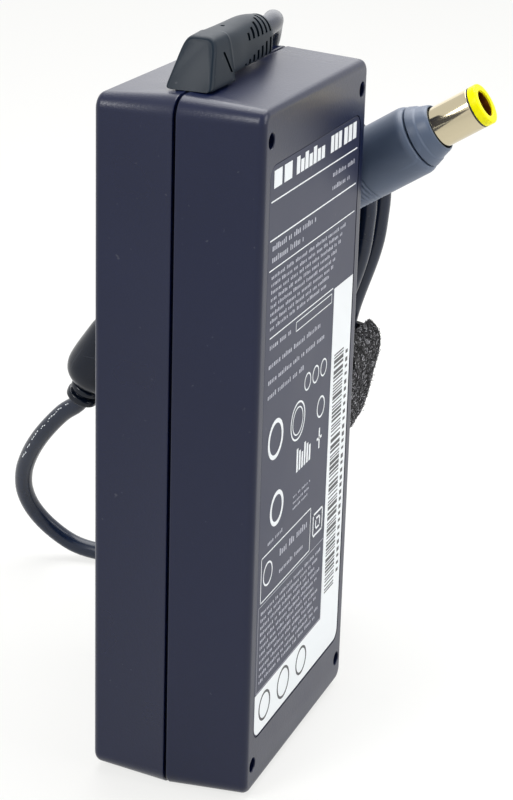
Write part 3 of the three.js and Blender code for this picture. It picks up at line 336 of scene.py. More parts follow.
def moulded_group():
    """Spark-eroded moulding: fine grain for the bump, slow patches in colour and roughness, dust specks.

    The colour is Color * (1 + Patches * (slow noise - 0.5)) under the specks, and the height is a fine noise.
    """
    inputs = [
        ("Vector", "Vector", None),
        ("Color", "Color", (0.02, 0.02, 0.03, 1)),
        ("Roughness", "Float", 0.4),
        ("Grain Scale", "Float", 2600.0),
        ("Patches", "Float", 0.12),
    ]
    outputs = [("Color", "Color"), ("Roughness", "Float"), ("Height", "Float")]
    tree, given, made = new_group("moulded surface", inputs, outputs)
    vector, patches = given.outputs["Vector"], given.outputs["Patches"]
    grain = noise(tree, vector, given.outputs["Grain Scale"], detail=2.0, roughness=0.6)
    slow = noise(tree, vector, scale=34.0, detail=3.0, roughness=0.55)
    dust = noise(tree, vector, scale=900.0, detail=1.0, roughness=0.5)
    specks = map_range(tree, dust, (0.76, 0.82), (0.0, 0.10))
    brighter = math_node(tree, "MULTIPLY_ADD", slow, patches, 1.0)
    brighter = math_node(tree, "SUBTRACT", brighter, math_node(tree, "MULTIPLY", patches, 0.5))
    tone = add_node(tree, "VectorMath", {0: given.outputs["Color"], "Scale": brighter}, operation="SCALE")
    feed(tree, made.inputs["Color"], mix_color(tree, specks, tone.outputs[0], (0.30, 0.30, 0.32)))
    patchy = map_range(tree, slow, (0.3, 0.7), (-0.035, 0.035))
    feed(tree, made.inputs["Roughness"], math_node(tree, "ADD", given.outputs["Roughness"], patchy))
    feed(tree, made.inputs["Height"], grain)
    return tree


def scratch_group():
    """Fine handling scratches: the higher of two stretched noises, each cut to thin lines, as a mask."""
    inputs = [("Vector", "Vector", None), ("Amount", "Float", 0.3)]
    tree, given, made = new_group("fine scratches", inputs, [("Mask", "Float")])
    masks = []
    for turn, stretch in ((0.5, (60.0, 60.0, 1400.0)), (1.9, (1100.0, 50.0, 70.0))):
        turns = (turn, turn * 0.7, turn * 1.3)
        stretched = {"Vector": given.outputs["Vector"], "Rotation": turns, "Scale": stretch}
        mapping = add_node(tree, "Mapping", stretched)
        lines = noise(tree, mapping.outputs[0], scale=1.0, detail=1.0, roughness=0.4)
        masks.append(map_range(tree, lines, (0.70, 0.76), (0.0, 1.0)))
    mask = math_node(tree, "MAXIMUM", *masks)
    feed(tree, made.inputs["Mask"], math_node(tree, "MULTIPLY", mask, given.outputs["Amount"]))
    return tree


def pile_group():
    """Loop pile: a coarse noise plus half a fine one as height, and a painted sheen that makes it paler where
    the fine is high.
    """
    inputs = [("Vector", "Vector", None), ("Color", "Color", (0.006, 0.006, 0.007, 1))]
    tree, given, made = new_group("loop pile", inputs, [("Color", "Color"), ("Height", "Float")])
    vector = given.outputs["Vector"]
    coarse = noise(tree, vector, scale=1500.0, detail=3.0, roughness=0.7)
    fine = noise(tree, vector, scale=3800.0, detail=2.0, roughness=0.7)
    # painted sheen: the pile made paler where the fine noise is high, as light caught on the loops' tops
    painted_tip_sheen = map_range(tree, fine, (0.56, 0.72), (0.0, 0.2))
    feed(tree, made.inputs["Color"], mix_color(tree, painted_tip_sheen, given.outputs["Color"], (0.10, 0.10, 0.105)))
    feed(tree, made.inputs["Height"], math_node(tree, "ADD", coarse, math_node(tree, "MULTIPLY", fine, 0.5)))
    return tree


MOULDED = moulded_group()
SCRATCHES = scratch_group()
PILE = pile_group()

# ---------------------------------------------------------------- materials


def place_group(tree, group, **values):
    """A shared group in a material's tree, on Object coordinates and with this material's own values."""
    node = add_node(tree, "Group", node_tree=group)
    feed(tree, node.inputs["Vector"], add_node(tree, "TexCoord").outputs["Object"])
    for label, value in values.items():
        feed(tree, node.inputs[label.replace("_", " ")], value)
    return node.outputs


def base_material(name, metallic=0.0, specular=0.5, sheen=0.0):
    """A new material with the values that stay the same all over, with its tree and its shader's inputs."""
    material = bpy.data.materials.new(name)
    material.use_nodes = True
    inputs = material.node_tree.nodes["Principled BSDF"].inputs
    inputs["Metallic"].default_value = metallic
    inputs["Specular IOR Level"].default_value = specular
    inputs["Sheen Weight"].default_value = sheen
    return material, material.node_tree, inputs


def add_bump(tree, inputs, height, distance, strength):
    """Relief of a height in metres, as a bump on the shader's normal."""
    bump = add_node(tree, "Bump", {"Distance": distance, "Strength": strength, "Height": height})
    feed(tree, inputs["Normal"], bump.outputs[0])


def moulded(name, color, roughness, grain=2600.0, bump=0.25, scratched=0.2, patches=0.12, specular=0.5):
    """A moulded plastic or rubber: the shared surface, with scratches that make it paler and rougher."""
    material, tree, inputs = base_material(name, specular=specular)
    surface = place_group(tree, MOULDED, Color=color, Roughness=roughness, Grain_Scale=grain, Patches=patches)
    mask = place_group(tree, SCRATCHES, Amount=scratched)["Mask"]
    pale = tuple(min(1.0, value * 1.6 + 0.03) for value in color)
    feed(tree, inputs["Base Color"], mix_color(tree, mask, surface["Color"], pale))
    feed(tree, inputs["Roughness"], math_node(tree, "MULTIPLY_ADD", mask, 0.2, surface["Roughness"]))
    add_bump(tree, inputs, surface["Height"], 0.00003, bump)
    return material


def ink(name, color, patches=0.12):
    """A matt printed film with hardly any relief."""
    return moulded(name, color, 0.45, grain=1800.0, bump=0.1, scratched=0.05, patches=patches)


def metal(name, color, roughness):
    """A plated or sheet metal with slight colour drift, fine grain and scratches that make it rougher."""
    material, tree, inputs = base_material(name, metallic=1.0)
    surface = place_group(tree, MOULDED, Color=color, Roughness=roughness, Grain_Scale=900.0, Patches=0.06)
    mask = place_group(tree, SCRATCHES, Amount=0.15)["Mask"]
    feed(tree, inputs["Base Color"], surface["Color"])
    feed(tree, inputs["Roughness"], math_node(tree, "MULTIPLY_ADD", mask, 0.25, surface["Roughness"]))
    add_bump(tree, inputs, surface["Height"], 0.00002, 0.04)
    return material


def fibre(name):
    """Strands between black and near white by the tone that each one carries: the near-white ones are painted
    glints of light on the loops, so single ones stand out.
    """
    material, tree, inputs = base_material(name, specular=0.4)
    tone = add_node(tree, "Attribute", attribute_name="tone").outputs["Fac"]
    # painted glints: strands with a high tone turn near white, standing for light caught on single loops
    feed(tree, inputs["Base Color"], mix_color(tree, tone, (0.006, 0.006, 0.008), (0.85, 0.85, 0.90)))
    inputs["Roughness"].default_value = 0.5
    return material


def loop_pile(name):
    """The strap's soft face under its loops: dark, rough, with a deep bump and a trace of sheen."""
    material, tree, inputs = base_material(name, specular=0.2, sheen=0.05)
    surface = place_group(tree, PILE)
    inputs["Roughness"].default_value = 0.9
    feed(tree, inputs["Base Color"], surface["Color"])
    add_bump(tree, inputs, surface["Height"], 0.0004, 0.9)
    return material


SHELL = moulded(
    "shell plastic", (0.0016, 0.0050, 0.0290), 0.30, grain=2200.0, bump=0.9, scratched=0.0, specular=0.40
)
LABEL = moulded(
    "label film", (0.022, 0.026, 0.056), 0.38, grain=1400.0, bump=0.12, scratched=0.0, specular=0.24
)
INK_WHITE = ink("white ink", (0.81, 0.84, 0.86), patches=0.05)
INK_PALE = ink("pale ink", (0.46, 0.47, 0.54), patches=0.05)
INK_DARK = ink("dark ink", (0.035, 0.036, 0.042))
INK_GREY = ink("grey ink", (0.36, 0.37, 0.42))
BOOT_RUBBER = moulded(
    "boot rubber", (0.0034, 0.0100, 0.0190), 0.40, grain=2400.0, bump=0.4, scratched=0.1, specular=0.16
)
CORD_RUBBER = moulded(
    "cord rubber", (0.004, 0.010, 0.028), 0.28, grain=1900.0, bump=0.15, scratched=0.1, specular=0.42
)
FERRITE_RUBBER = moulded(
    "ferrite jacket", (0.002, 0.005, 0.013), 0.26, grain=1900.0, bump=0.15, scratched=0.25, specular=0.30
)
GRIP_RUBBER = moulded("grip rubber", (0.080, 0.110, 0.172), 0.40, grain=2200.0, bump=0.3, scratched=0.15)
BLACK_PLASTIC = moulded("black plastic", (0.008, 0.008, 0.010), 0.42)
YELLOW_PLASTIC = moulded("yellow plastic", (0.93, 0.87, 0.0), 0.32, grain=1600.0, bump=0.08, specular=0.12)
PALE_TAPE = moulded("bobbin tape", (0.66, 0.60, 0.36), 0.55, grain=700.0)
BLUE_SLEEVE = moulded("capacitor sleeve", (0.024, 0.078, 0.32), 0.30, grain=900.0)
BOARD_GREEN = moulded("board laminate", (0.014, 0.10, 0.034), 0.38, grain=1200.0)
RED_WIRE = moulded("red insulation", (0.39, 0.019, 0.014), 0.42)
WHITE_WIRE = moulded("white insulation", (0.68, 0.68, 0.66), 0.45)
FERRITE_GREY = moulded("ferrite", (0.033, 0.036, 0.042), 0.75, grain=900.0, bump=0.5)
STRAP_PILE = loop_pile("strap pile")
STRAP_FIBRE_GLINTS = fibre("strap fibre with painted glints")
PLUG_METAL = metal("plug plating", (0.58, 0.51, 0.355), 0.10)
CONTACT_METAL = metal("contact plating", (0.40, 0.15, 0.03), 0.30)
STEEL = metal("screw steel", (0.33, 0.34, 0.36), 0.38)
ALUMINIUM = metal("sheet aluminium", (0.46, 0.48, 0.50), 0.42)
COPPER = metal("enamelled wire", (0.46, 0.14, 0.045), 0.36)

# ---------------------------------------------------------------- meshes from arrays

BOX_FACES = [(0, 1, 2, 3), (7, 6, 5, 4), (0, 4, 5, 1), (1, 5, 6, 2), (2, 6, 7, 3), (3, 7, 4, 0)]


def add_piece(name, vertices, faces, material, smooth_angle=40.0):
    """A mesh object at the origin from an array of places in millimetres and a list of faces."""
    mesh = bpy.data.meshes.new(name)
    mesh.from_pydata((np.asarray(vertices, float) * MM).tolist(), [], faces)
    mesh.validate()
    mesh.materials.append(material)
    shade(mesh, smooth_angle)
    piece = bpy.data.objects.new(name, mesh)
    bpy.context.scene.collection.objects.link(piece)
    return piece


def shade(mesh, smooth_angle):
    """Smooth shading, with sharp edges where two faces meet at more than the angle in degrees."""
    mesh.polygons.foreach_set("use_smooth", np.ones(len(mesh.polygons), bool))
    mesh.set_sharp_from_angle(angle=math.radians(smooth_angle))
    mesh.update()


def dress(piece, material):
    """Puts one material in place of all that a piece has."""
    piece.data.materials.clear()
    piece.data.materials.append(material)


def finish_piece(piece, slot, *nodes):
    """Hangs a piece on the root body and hides the solids that it stands for; slot is not used."""
    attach(piece, ROOT)
    if nodes:
        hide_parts(*nodes)


def outward(vertices, faces):
    """The faces, all turned round where they point in.

    They do where the tetrahedra from the origin to each face's fan of triangles add up to less than nothing.
    """
    places = np.asarray(vertices, float)
    fans = np.array([(face[0], face[i], face[i + 1]) for face in faces for i in range(1, len(face) - 1)])
    a, b, c = places[fans[:, 0]], places[fans[:, 1]], places[fans[:, 2]]
    inside_out = np.einsum("ij,ij->i", a, np.cross(b, c)).sum() < 0
    return [face[::-1] for face in faces] if inside_out else faces


def ring_faces(rows, columns):
    """Quads between neighbouring rings of points, each ring closed on itself, as a list of indices."""
    row, column = np.meshgrid(np.arange(rows - 1), np.arange(columns), indexing="ij")
    a = row * columns + column
    b = row * columns + (column + 1) % columns
    return np.stack([a, b, b + columns, a + columns], axis=-1).reshape(-1, 4).tolist()


def skin(rings):
    """The closed skin of rings [ring, point, xyz]: quads between them and a polygon on each end."""
    rows, columns, _ = rings.shape
    vertices = rings.reshape(-1, 3)
    faces = ring_faces(rows, columns)
    faces.append(list(range(columns))[::-1])
    faces.append(list(range((rows - 1) * columns, rows * columns)))
    return vertices, outward(vertices, faces)


def looped_skin(rings):
    """The closed skin of rings whose last one joins the first, as on a pipe or a band: no end polygons."""
    rows, columns, _ = rings.shape
    vertices = rings.reshape(-1, 3)
    faces = (np.array(ring_faces(rows + 1, columns)) % (rows * columns)).tolist()
    return vertices, outward(vertices, faces)


def boxes(corners):
    """The skin of separate boxes [box, corner, xyz]: four corners of one end, then of the other."""
    faces = np.arange(len(corners))[:, None, None] * 8 + np.array(BOX_FACES)
    vertices = corners.reshape(-1, 3)
    return vertices, outward(vertices, faces.reshape(-1, 4).tolist())


def revolve(profile, sides=96):
    """Rings about Z from [radius, height] pairs: x = r cos a, y = r sin a, one ring for each pair."""
    profile = np.asarray(profile, float)
    angle = np.arange(sides) / sides * 2 * math.pi
    rings = np.empty((len(profile), sides, 3))
    rings[..., 0] = profile[:, :1] * np.cos(angle)
    rings[..., 1] = profile[:, :1] * np.sin(angle)
    rings[..., 2] = profile[:, 1:]
    return rings


def revolve_across(profile, x, z, sides, way=1):
    """Rings from [radius, Y] pairs about a line along Y, with points at x + r cos a and z + way * r sin a."""
    rings = revolve(profile, sides)
    return np.stack([x + rings[..., 0], rings[..., 2], z + way * rings[..., 1]], axis=-1)


def rounded(corners, steps):
    """A profile with some corners rounded: each [radius, height, fillet] corner becomes an arc-like curve.

    The curve is the quadratic one whose ends lie a fillet away from the corner along both sides.
    """
    corners = [tuple(corner) + (0.0,) * (3 - len(corner)) for corner in corners]
    t = np.linspace(0, 1, steps + 1)[:, None]
    out = []
    for i, (x, y, fillet) in enumerate(corners):
        here = np.array([x, y])
        if fillet <= 0 or i in (0, len(corners) - 1):
            out.append(here)
            continue
        before = np.array(corners[i - 1][:2]) - here
        after = np.array(corners[i + 1][:2]) - here
        start = here + before / np.linalg.norm(before) * min(fillet, 0.49 * np.linalg.norm(before))
        end = here + after / np.linalg.norm(after) * min(fillet, 0.49 * np.linalg.norm(after))
        out.append((1 - t) ** 2 * start + 2 * t * (1 - t) * here + t**2 * end)
    return np.vstack(out)


def rounded_rectangle(low, high, radius, steps):
    """Points [a, b] round a rectangle from low to high: centre + radius (cos t, sin t) at each corner."""
    (a0, b0), (a1, b1) = low, high
    near_a, far_a, near_b, far_b = a0 + radius, a1 - radius, b0 + radius, b1 - radius
    centres = np.array([(far_a, far_b), (near_a, far_b), (near_a, near_b), (far_a, near_b)])
    angle = (np.arange(4)[:, None] + np.arange(steps + 1) / steps) * math.pi / 2
    arcs = radius * np.stack([np.cos(angle), np.sin(angle)], axis=-1)
    return (centres[:, None, :] + arcs).reshape(-1, 2)


def smoothstep(value, low, high):
    """t² (3 - 2 t), where t goes from 0 to 1 as the value goes from low to high."""
    t = np.clip((value - low) / (high - low), 0, 1)
    return t * t * (3 - 2 * t)


def placed(vertices, matrix):
    """Points carried by a matrix: their turned places plus its shift."""
    matrix = np.array(matrix)
    return np.asarray(vertices, float) @ matrix[:3, :3].T + matrix[:3, 3]


def helper_from_rings(rings):
    """A plain closed solid that a boolean uses up."""
    vertices, faces = skin(np.asarray(rings, float))
    return add_piece("helper", vertices, faces, SHELL)


def box_helper(low, high):
    """A block from its low corner to its high one."""
    (x0, y0, z0), (x1, y1, z1) = low, high
    return helper_from_rings([[(x0, y0, z), (x1, y0, z), (x1, y1, z), (x0, y1, z)] for z in (z0, z1)])


def rod_helper(x, z, y0, y1, radius):
    """A round rod along Y."""
    return helper_from_rings(revolve_across([(radius, y0), (radius, y1)], x, z, 48))


def boolean(piece, other, operation):
    """Cuts or joins a helper object into a piece, and removes the helper."""
    modifier = piece.modifiers.new("cut", "BOOLEAN")
    modifier.operation = operation
    modifier.solver = "EXACT"
    modifier.object = other
    graph = bpy.context.evaluated_depsgraph_get()
    made = bpy.data.meshes.new_from_object(piece.evaluated_get(graph))
    piece.modifiers.clear()
    old = piece.data
    piece.data = made
    bpy.data.meshes.remove(old)
    bpy.data.objects.remove(other)


# ---------------------------------------------------------------- lines


def lengths_along(line):
    """The distance from the line's start to each of its points, along it."""
    return np.concatenate([[0], np.cumsum(np.linalg.norm(np.diff(line, axis=0), axis=1))])


def directions(line):
    """The unit direction of a line at each of its points."""
    along = np.gradient(line, axis=0)
    return along / np.linalg.norm(along, axis=1)[:, None]


def look_up(line, lengths, places):
    """What a line, or anything else kept for each of its points, is at given distances along it."""
    return np.stack([np.interp(places, lengths, line[:, axis]) for axis in range(3)], axis=-1)


def resample(line, step):
    """The same line with points an even step apart."""
    lengths = lengths_along(line)
    places = np.linspace(0, lengths[-1], max(2, round(lengths[-1] / step) + 1))
    return look_up(line, lengths, places)


def spline(points, step=1.0):
    """The centripetal Catmull-Rom curve through points, from blends over the knots t of four at a time."""
    points = np.asarray(points, float)
    padded = np.vstack([2 * points[0] - points[1], points, 2 * points[-1] - points[-2]])
    knots = np.concatenate([[0], np.cumsum(np.sqrt(np.linalg.norm(np.diff(padded, axis=0), axis=1)))])
    out = []
    for i in range(1, len(padded) - 2):
        p, t = padded[i - 1 : i + 3], knots[i - 1 : i + 3]
        count = max(2, int(np.linalg.norm(p[2] - p[1]) / step))
        u = np.linspace(t[1], t[2], count, endpoint=False)[:, None]
        a1 = (t[1] - u) / (t[1] - t[0]) * p[0] + (u - t[0]) / (t[1] - t[0]) * p[1]
        a2 = (t[2] - u) / (t[2] - t[1]) * p[1] + (u - t[1]) / (t[2] - t[1]) * p[2]
        a3 = (t[3] - u) / (t[3] - t[2]) * p[2] + (u - t[2]) / (t[3] - t[2]) * p[3]
        b1 = (t[2] - u) / (t[2] - t[0]) * a1 + (u - t[0]) / (t[2] - t[0]) * a2
        b2 = (t[3] - u) / (t[3] - t[1]) * a2 + (u - t[1]) / (t[3] - t[1]) * a3
        out.append((t[2] - u) / (t[2] - t[1]) * b1 + (u - t[1]) / (t[2] - t[1]) * b2)
    out.append(points[-1:])
    return np.vstack(out)


def tube_rings(line, radius, sides):
    """Rings of a round tube, line + radius (across cos a + beside sin a), in frames that turn little."""
    along = directions(line)
    across = np.empty_like(along)
    guide = np.cross(along[0], (0, 1, 0))
    for i, direction in enumerate(along):
        guide = guide - direction * guide.dot(direction)
        guide /= np.linalg.norm(guide)
        across[i] = guide
    beside = np.cross(along, across)
    angle = (np.arange(sides) / sides * 2 * math.pi)[None, :, None]
    spokes = across[:, None, :] * np.cos(angle) + beside[:, None, :] * np.sin(angle)
    return line[:, None, :] + radius * spokes


# ---------------------------------------------------------------- the output cord


def beyond_hank(x, z):
    """A place on the line that the hank's first and last runs carry on, past its ends."""
    return tuple(HANK_FRAME @ Vector((x, HANK_CENTRE_Y + HANK_START_REACH, z)))


LEAD_POINTS = [
    (SLEEVE_END_X + 0.3, SEAM_Y, CORD_EXIT_Z),
    (13.3, SEAM_Y, CORD_EXIT_Z + 0.05),
    (17.8, 0.8, 132.1),
    (22.6, 2.4, 131.6),
    (27, 4.2, 129.7),
    (30.2, 6, 126),
    (32.2, 9.4, 121),
    (35, 14.6, 115.8),
    (38.6, 19.8, 110.8),
    (41.8, 23.7, 105.6),
    beyond_hank(HANK_FRONT_X, HANK_HIGH_Z + 4),
    beyond_hank(HANK_FRONT_X, HANK_HIGH_Z + 0.3),
]
TAIL_POINTS = [
    beyond_hank(HANK_BACK_X, HANK_LOW_Z - 0.3),
    beyond_hank(HANK_BACK_X, HANK_LOW_Z - 4),
    (57, 34.6, 11.2),
    (57.2, 37.2, 6.6),
    (57.4, 41.4, 3.5),
    (57.4, 46.8, 2.1),
    (57, 52.6, 2.05),
    (56, 58.8, 3.3),
    (54, 64, 7.4),
    (51.6, 67, 12.4),
    (49.2, 67.8, 17.6),
    (47, 66.8, 22.8),
    (45, 64.4, 28),
    (43, 60.8, 33.4),
    (41.6, 56.6, 38.4),
    (40.8, 53.6, 41.4),
    FERRITE_START,
    (39.3, 45.5, 53.1),
    (38.6, 41.65, 60.8),
    (37.9, 37.8, 68.5),
    (37.1, 32.5, 77.3),
    (36, 25.6, 83.8),
    (35, 17.5, 87.4),
]
PLUG_ENTRY = [tuple(PLUG_FRAME @ Vector((0, 0, z))) for z in (RELIEF_FOOT - 4, RELIEF_FOOT - 0.3)]

PRINT_ANGLE = -0.55  # how far the cord's print lies round it from the side that faces the camera
PRINT_ANGLE_DRIFT = 0.12
PRINT_HALF_HEIGHT = 0.05  # also an angle round the cord
PRINT_STRETCH = (1.0, 22.0)
PRINT_DASHES = (0.25, 0.7)
PRINT_GAPS = [0.25, 0.35, 1.2]


def hank_line():
    """The hank's middle line: even runs go down on +Y, odd ones up on -Y, and a half circle joins them.

    Along a run the reach from the centre blends from one fold's radius to the next, less the waist's draw.
    Every third run climbs one layer along X.
    """
    folds = [HANK_FOLD_R + ring * HANK_LOOP_PITCH / 2 for ring in HANK_FOLD_RINGS]
    radii = [HANK_START_REACH, *folds, HANK_START_REACH]
    share = np.linspace(0, 1, 41)
    blend = smoothstep(share, 0.06, 0.94)
    angle = np.linspace(0, math.pi, 26)[1:-1]
    pieces = []
    for run in range(len(folds) + 1):
        down = run % 2 == 0
        z = HANK_HIGH_Z - share * HANK_RUN if down else HANK_LOW_Z + share * HANK_RUN
        drawn = HANK_WAIST * (1 - smoothstep(np.abs(z - HANK_MIDDLE_Z) - HANK_WAIST_HALF, 0, HANK_WAIST_RAMP))
        reach = radii[run] + (radii[run + 1] - radii[run]) * blend - drawn
        climbs = run % HANK_RUNS_A_LAYER == 0 and 0 < run < len(folds)
        layer = (run - 1) // HANK_RUNS_A_LAYER + blend * climbs
        x = HANK_FRONT_X + np.clip(layer, 0, HANK_BACK_LAYER) * HANK_LAYER_PITCH
        y = HANK_CENTRE_Y + (reach if down else -reach)
        pieces.append(np.stack([x, y, z], axis=1))
        if run == len(folds):
            break
        turn = folds[run] if down else -folds[run]
        fold_y = HANK_CENTRE_Y + turn * np.cos(angle)
        fold_z = z[-1] - turn * np.sin(angle)
        pieces.append(np.stack([np.full(len(angle), x[-1]), fold_y, fold_z], axis=1))
    return np.vstack(pieces)


def make_cord():
    """One round cord along its lead, its hank and its tail, with the line through its middle."""
    hank = placed(hank_line(), HANK_FRAME)
    line = resample(np.vstack([spline(LEAD_POINTS), hank, spline(TAIL_POINTS + PLUG_ENTRY)]), 1.25)
    vertices, faces = skin(tube_rings(line, CORD_R, 20))
    cord = add_piece("output_cord", vertices, faces, CORD_RUBBER, 60)
    finish_piece(cord, "rubber", "dc_cord_lead", "dc_cord_hank", "dc_cord_tail")
    return cord, line


def make_cord_print(line):
    """Plain pale dashes along the cord where it leaves the ferrite sleeve: short arcs just proud of its skin.

    Each point is line(s) + radius (front cos a + beside sin a), where front points to the camera, square to
    the line, and beside is square to both.
    """
    lengths = lengths_along(line)
    sleeve = np.linalg.norm(line - np.array(FERRITE_START), axis=1).argmin()
    generator = np.random.default_rng(3)
    starts, dashes, angles = [], [], []
    place = lengths[sleeve] - PRINT_STRETCH[0]
    while place > lengths[sleeve] - PRINT_STRETCH[1]:
        starts.append(place)
        dashes.append(generator.uniform(*PRINT_DASHES))
        angles.append(PRINT_ANGLE + generator.uniform(-PRINT_ANGLE_DRIFT, PRINT_ANGLE_DRIFT))
        place -= dashes[-1] + generator.choice(PRINT_GAPS)
    places = np.array(starts)[:, None] - np.array(dashes)[:, None] * ([0, 1, 1, 0] * 2)
    angle = np.array(angles)[:, None] + PRINT_HALF_HEIGHT * np.array([-1, -1, 1, 1] * 2)
    radius = CORD_R + np.repeat([-0.03, 0.02], 4)
    centre = look_up(line, lengths, places)
    way = look_up(directions(line), lengths, places)
    view = np.array(CAMERA_PLACE) - line[sleeve]
    front = view - way * (way @ view)[..., None]
    front /= np.linalg.norm(front, axis=-1)[..., None]
    beside = np.cross(way, front)
    arc = front * np.cos(angle)[..., None] + beside * np.sin(angle)[..., None]
    vertices, faces = boxes(centre + radius[:, None] * arc)
    finish_piece(add_piece("cord_print", vertices, faces, INK_WHITE, 30), "rubber")


cord, cord_line = make_cord()
make_cord_print(cord_line)

# ---------------------------------------------------------------- the two shells of the case

# how far the seam's edge draws in, and where from the seam
SEAM_EASE = [(0.22, 0.0), (0.06, 0.07), (0.0, 0.25)]
DRAFT_START = 0.3
SCREW_MOUTH = [(0.25, -0.2), (0.0, 0.15)]  # how far a screw's hole widens, and where from the face
SHANK_BORE_R = SCREW_SHANK_R + FIT
SHANK_BORE_END_Y = 3.0
PILOT_END_Y = 9.3
LIP_INSET = 0.8
LIP_TOP_Y = SEAM_Y + 1.6
LIP_FOOT_Y = SEAM_Y - 2.0
REBATE_INSET = 0.9
REBATE_TOP_Y = SEAM_Y + 1.7
BOARD_POST_R = 2.0
BOARD_POST_INSET = (3, 4)


def draft_at(y):
    """How far the case's sides have drawn in, as a share of the distance from the seam."""
    return DRAFT * abs(y - SEAM_Y)


def case_ring(inset, y):
    """The case's outline at one Y: a rectangle with quarter-circle corners, drawn in by inset."""
    low, high = (inset - SIDE_X, inset), (SIDE_X - inset, CASE_HEIGHT - inset)
    return np.insert(rounded_rectangle(low, high, max(CORNER_R - inset, 0.6), 10), 1, y, axis=1)


def shell_outside(side):
    """A drafted side from the seam, then a quarter circle of radius EDGE_R over to the flat face."""
    round_y = side * (FACE_Y - EDGE_R)
    seam_y = SEAM_Y + side * SEAM_GAP / 2
    rings = [case_ring(draft_at(seam_y) + drawn, seam_y + side * step) for drawn, step in SEAM_EASE]
    rings += [case_ring(draft_at(y), y) for y in (seam_y + side * DRAFT_START, round_y)]
    for angle in np.linspace(0, math.pi / 2, 9)[1:]:
        inset = draft_at(round_y) + EDGE_R * (1 - math.cos(angle))
        rings.append(case_ring(inset, side * (FACE_Y - EDGE_R * (1 - math.sin(angle)))))
    return np.array(rings)


def shell_inside(side):
    """The room inside one shell, from just past the seam to the shell's floor."""
    floor_y = side * (FACE_Y - WALL)
    return helper_from_rings([case_ring(WALL, SEAM_Y - side), case_ring(WALL + draft_at(floor_y), floor_y)])


def ring_wall(outer_inset, inner_inset, y0, y1):
    """A thin wall that follows the case's outline between two Y planes."""
    wall = helper_from_rings([case_ring(outer_inset, y0), case_ring(outer_inset, y1)])
    room = helper_from_rings([case_ring(inner_inset, y0 - 1), case_ring(inner_inset, y1 + 1)])
    boolean(wall, room, "DIFFERENCE")
    return wall


def screw_bore(x, z):
    """A stepped hole from the label side: a small countersink, the head's bore, then the shank's bore."""
    profile = [(SCREW_HOLE_R + wider, step - FACE_Y) for wider, step in SCREW_MOUTH]
    profile += [(SCREW_HOLE_R, SCREW_SEAT_Y), (SHANK_BORE_R, SCREW_SEAT_Y), (SHANK_BORE_R, SHANK_BORE_END_Y)]
    return helper_from_rings(revolve_across(profile, x, z, 40))


def label_plate(grown, y0, y1, bevel=0.0):
    """The label's outline, grown all round, between two Y planes; a bevel chamfers its front."""
    sections = [(grown - bevel, y0)] if bevel else []
    sections += [(grown, y0 + bevel), (grown, y1)]
    rings = []
    for out, y in sections:
        low, high = (-LABEL_HALF_X - out, LABEL_LOW_Z - out), (LABEL_HALF_X + out, LABEL_HIGH_Z + out)
        rings.append(np.insert(rounded_rectangle(low, high, LABEL_R + out, 8), 1, y, axis=1))
    return np.array(rings)


def open_shell(shell):
    """Cuts the openings for the inlet, at the foot, and for the boot's neck, at the top."""
    reach_x, reach_y, neck_y = INLET_HALF_X + FIT, INLET_HALF_Y + FIT, NECK_HALF + FIT
    inlet = box_helper((-reach_x, SEAM_Y - reach_y, -1), (reach_x, SEAM_Y + reach_y, WALL * 2))
    boolean(shell, inlet, "DIFFERENCE")
    low = (NECK_X - FIT, SEAM_Y - neck_y, CASE_HEIGHT - WALL * 2)
    high = (NECK_X + NECK_LENGTH + FIT, SEAM_Y + neck_y, CASE_HEIGHT + 1)
    boolean(shell, box_helper(low, high), "DIFFERENCE")


def make_base_shell():
    """The label's half: hollow, with its lip at the seam, four bored screw posts and the label's recess."""
    shell = helper_from_rings(shell_outside(-1))
    shell.name = "base_shell_skin"
    boolean(shell, shell_inside(-1), "DIFFERENCE")
    boolean(shell, ring_wall(WALL - LIP_INSET, WALL + 0.03, LIP_FOOT_Y, LIP_TOP_Y), "UNION")
    for x, z in SCREW_PLACES:
        boolean(shell, rod_helper(x, z, -FACE_Y + WALL / 2, POST_TOP_Y, POST_R), "UNION")
        boolean(shell, screw_bore(x, z), "DIFFERENCE")
    recess = helper_from_rings(label_plate(LABEL_GAP, -FACE_Y - 1, -FACE_Y + LABEL_RECESS))
    boolean(shell, recess, "DIFFERENCE")
    open_shell(shell)
    shade(shell.data, 32)
    finish_piece(shell, "shell", "base_shell")


def make_cover_shell():
    """The back half: hollow, with the lip's rebate, four bosses with pilot holes and four board posts."""
    shell = helper_from_rings(shell_outside(1))
    shell.name = "cover_shell_skin"
    boolean(shell, shell_inside(1), "DIFFERENCE")
    boolean(shell, ring_wall(WALL - REBATE_INSET, WALL + 1, SEAM_Y - 1, REBATE_TOP_Y), "DIFFERENCE")
    for x, z in SCREW_PLACES:
        boolean(shell, rod_helper(x, z, REBATE_TOP_Y, FACE_Y - WALL / 2, POST_R), "UNION")
        boolean(shell, rod_helper(x, z, SEAM_Y, PILOT_END_Y, SHANK_BORE_R), "DIFFERENCE")
    low, high = (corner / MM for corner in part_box("circuit_board"))
    inset_x, inset_z = BOARD_POST_INSET
    for x in (inset_x - high.x, high.x - inset_x):
        for z in (low.z + inset_z, high.z - inset_z):
            boolean(shell, rod_helper(x, z, high.y + 0.1, FACE_Y - WALL / 2, BOARD_POST_R), "UNION")
    open_shell(shell)
    shade(shell.data, 32)
    finish_piece(shell, "shell", "cover_shell")


make_base_shell()
make_cover_shell()

# ---------------------------------------------------------------- the label and its plain print

INK_PROUD = 0.03
DARK_INK_PROUD = 0.05
GREY_INK_PROUD = 0.02
INK_SUNK = 0.02
PANEL_MARGIN = 0.3
PANEL_X = 12.0
PANEL_TOP_Z = 19.8

# blocks in the top row: from x, to x, how many
TOP_BLOCKS = [(-20.8, -11.4, 2), (-10.3, 4.1, 7), (6.8, 12.9, 3), (13.8, 21.0, 3)]
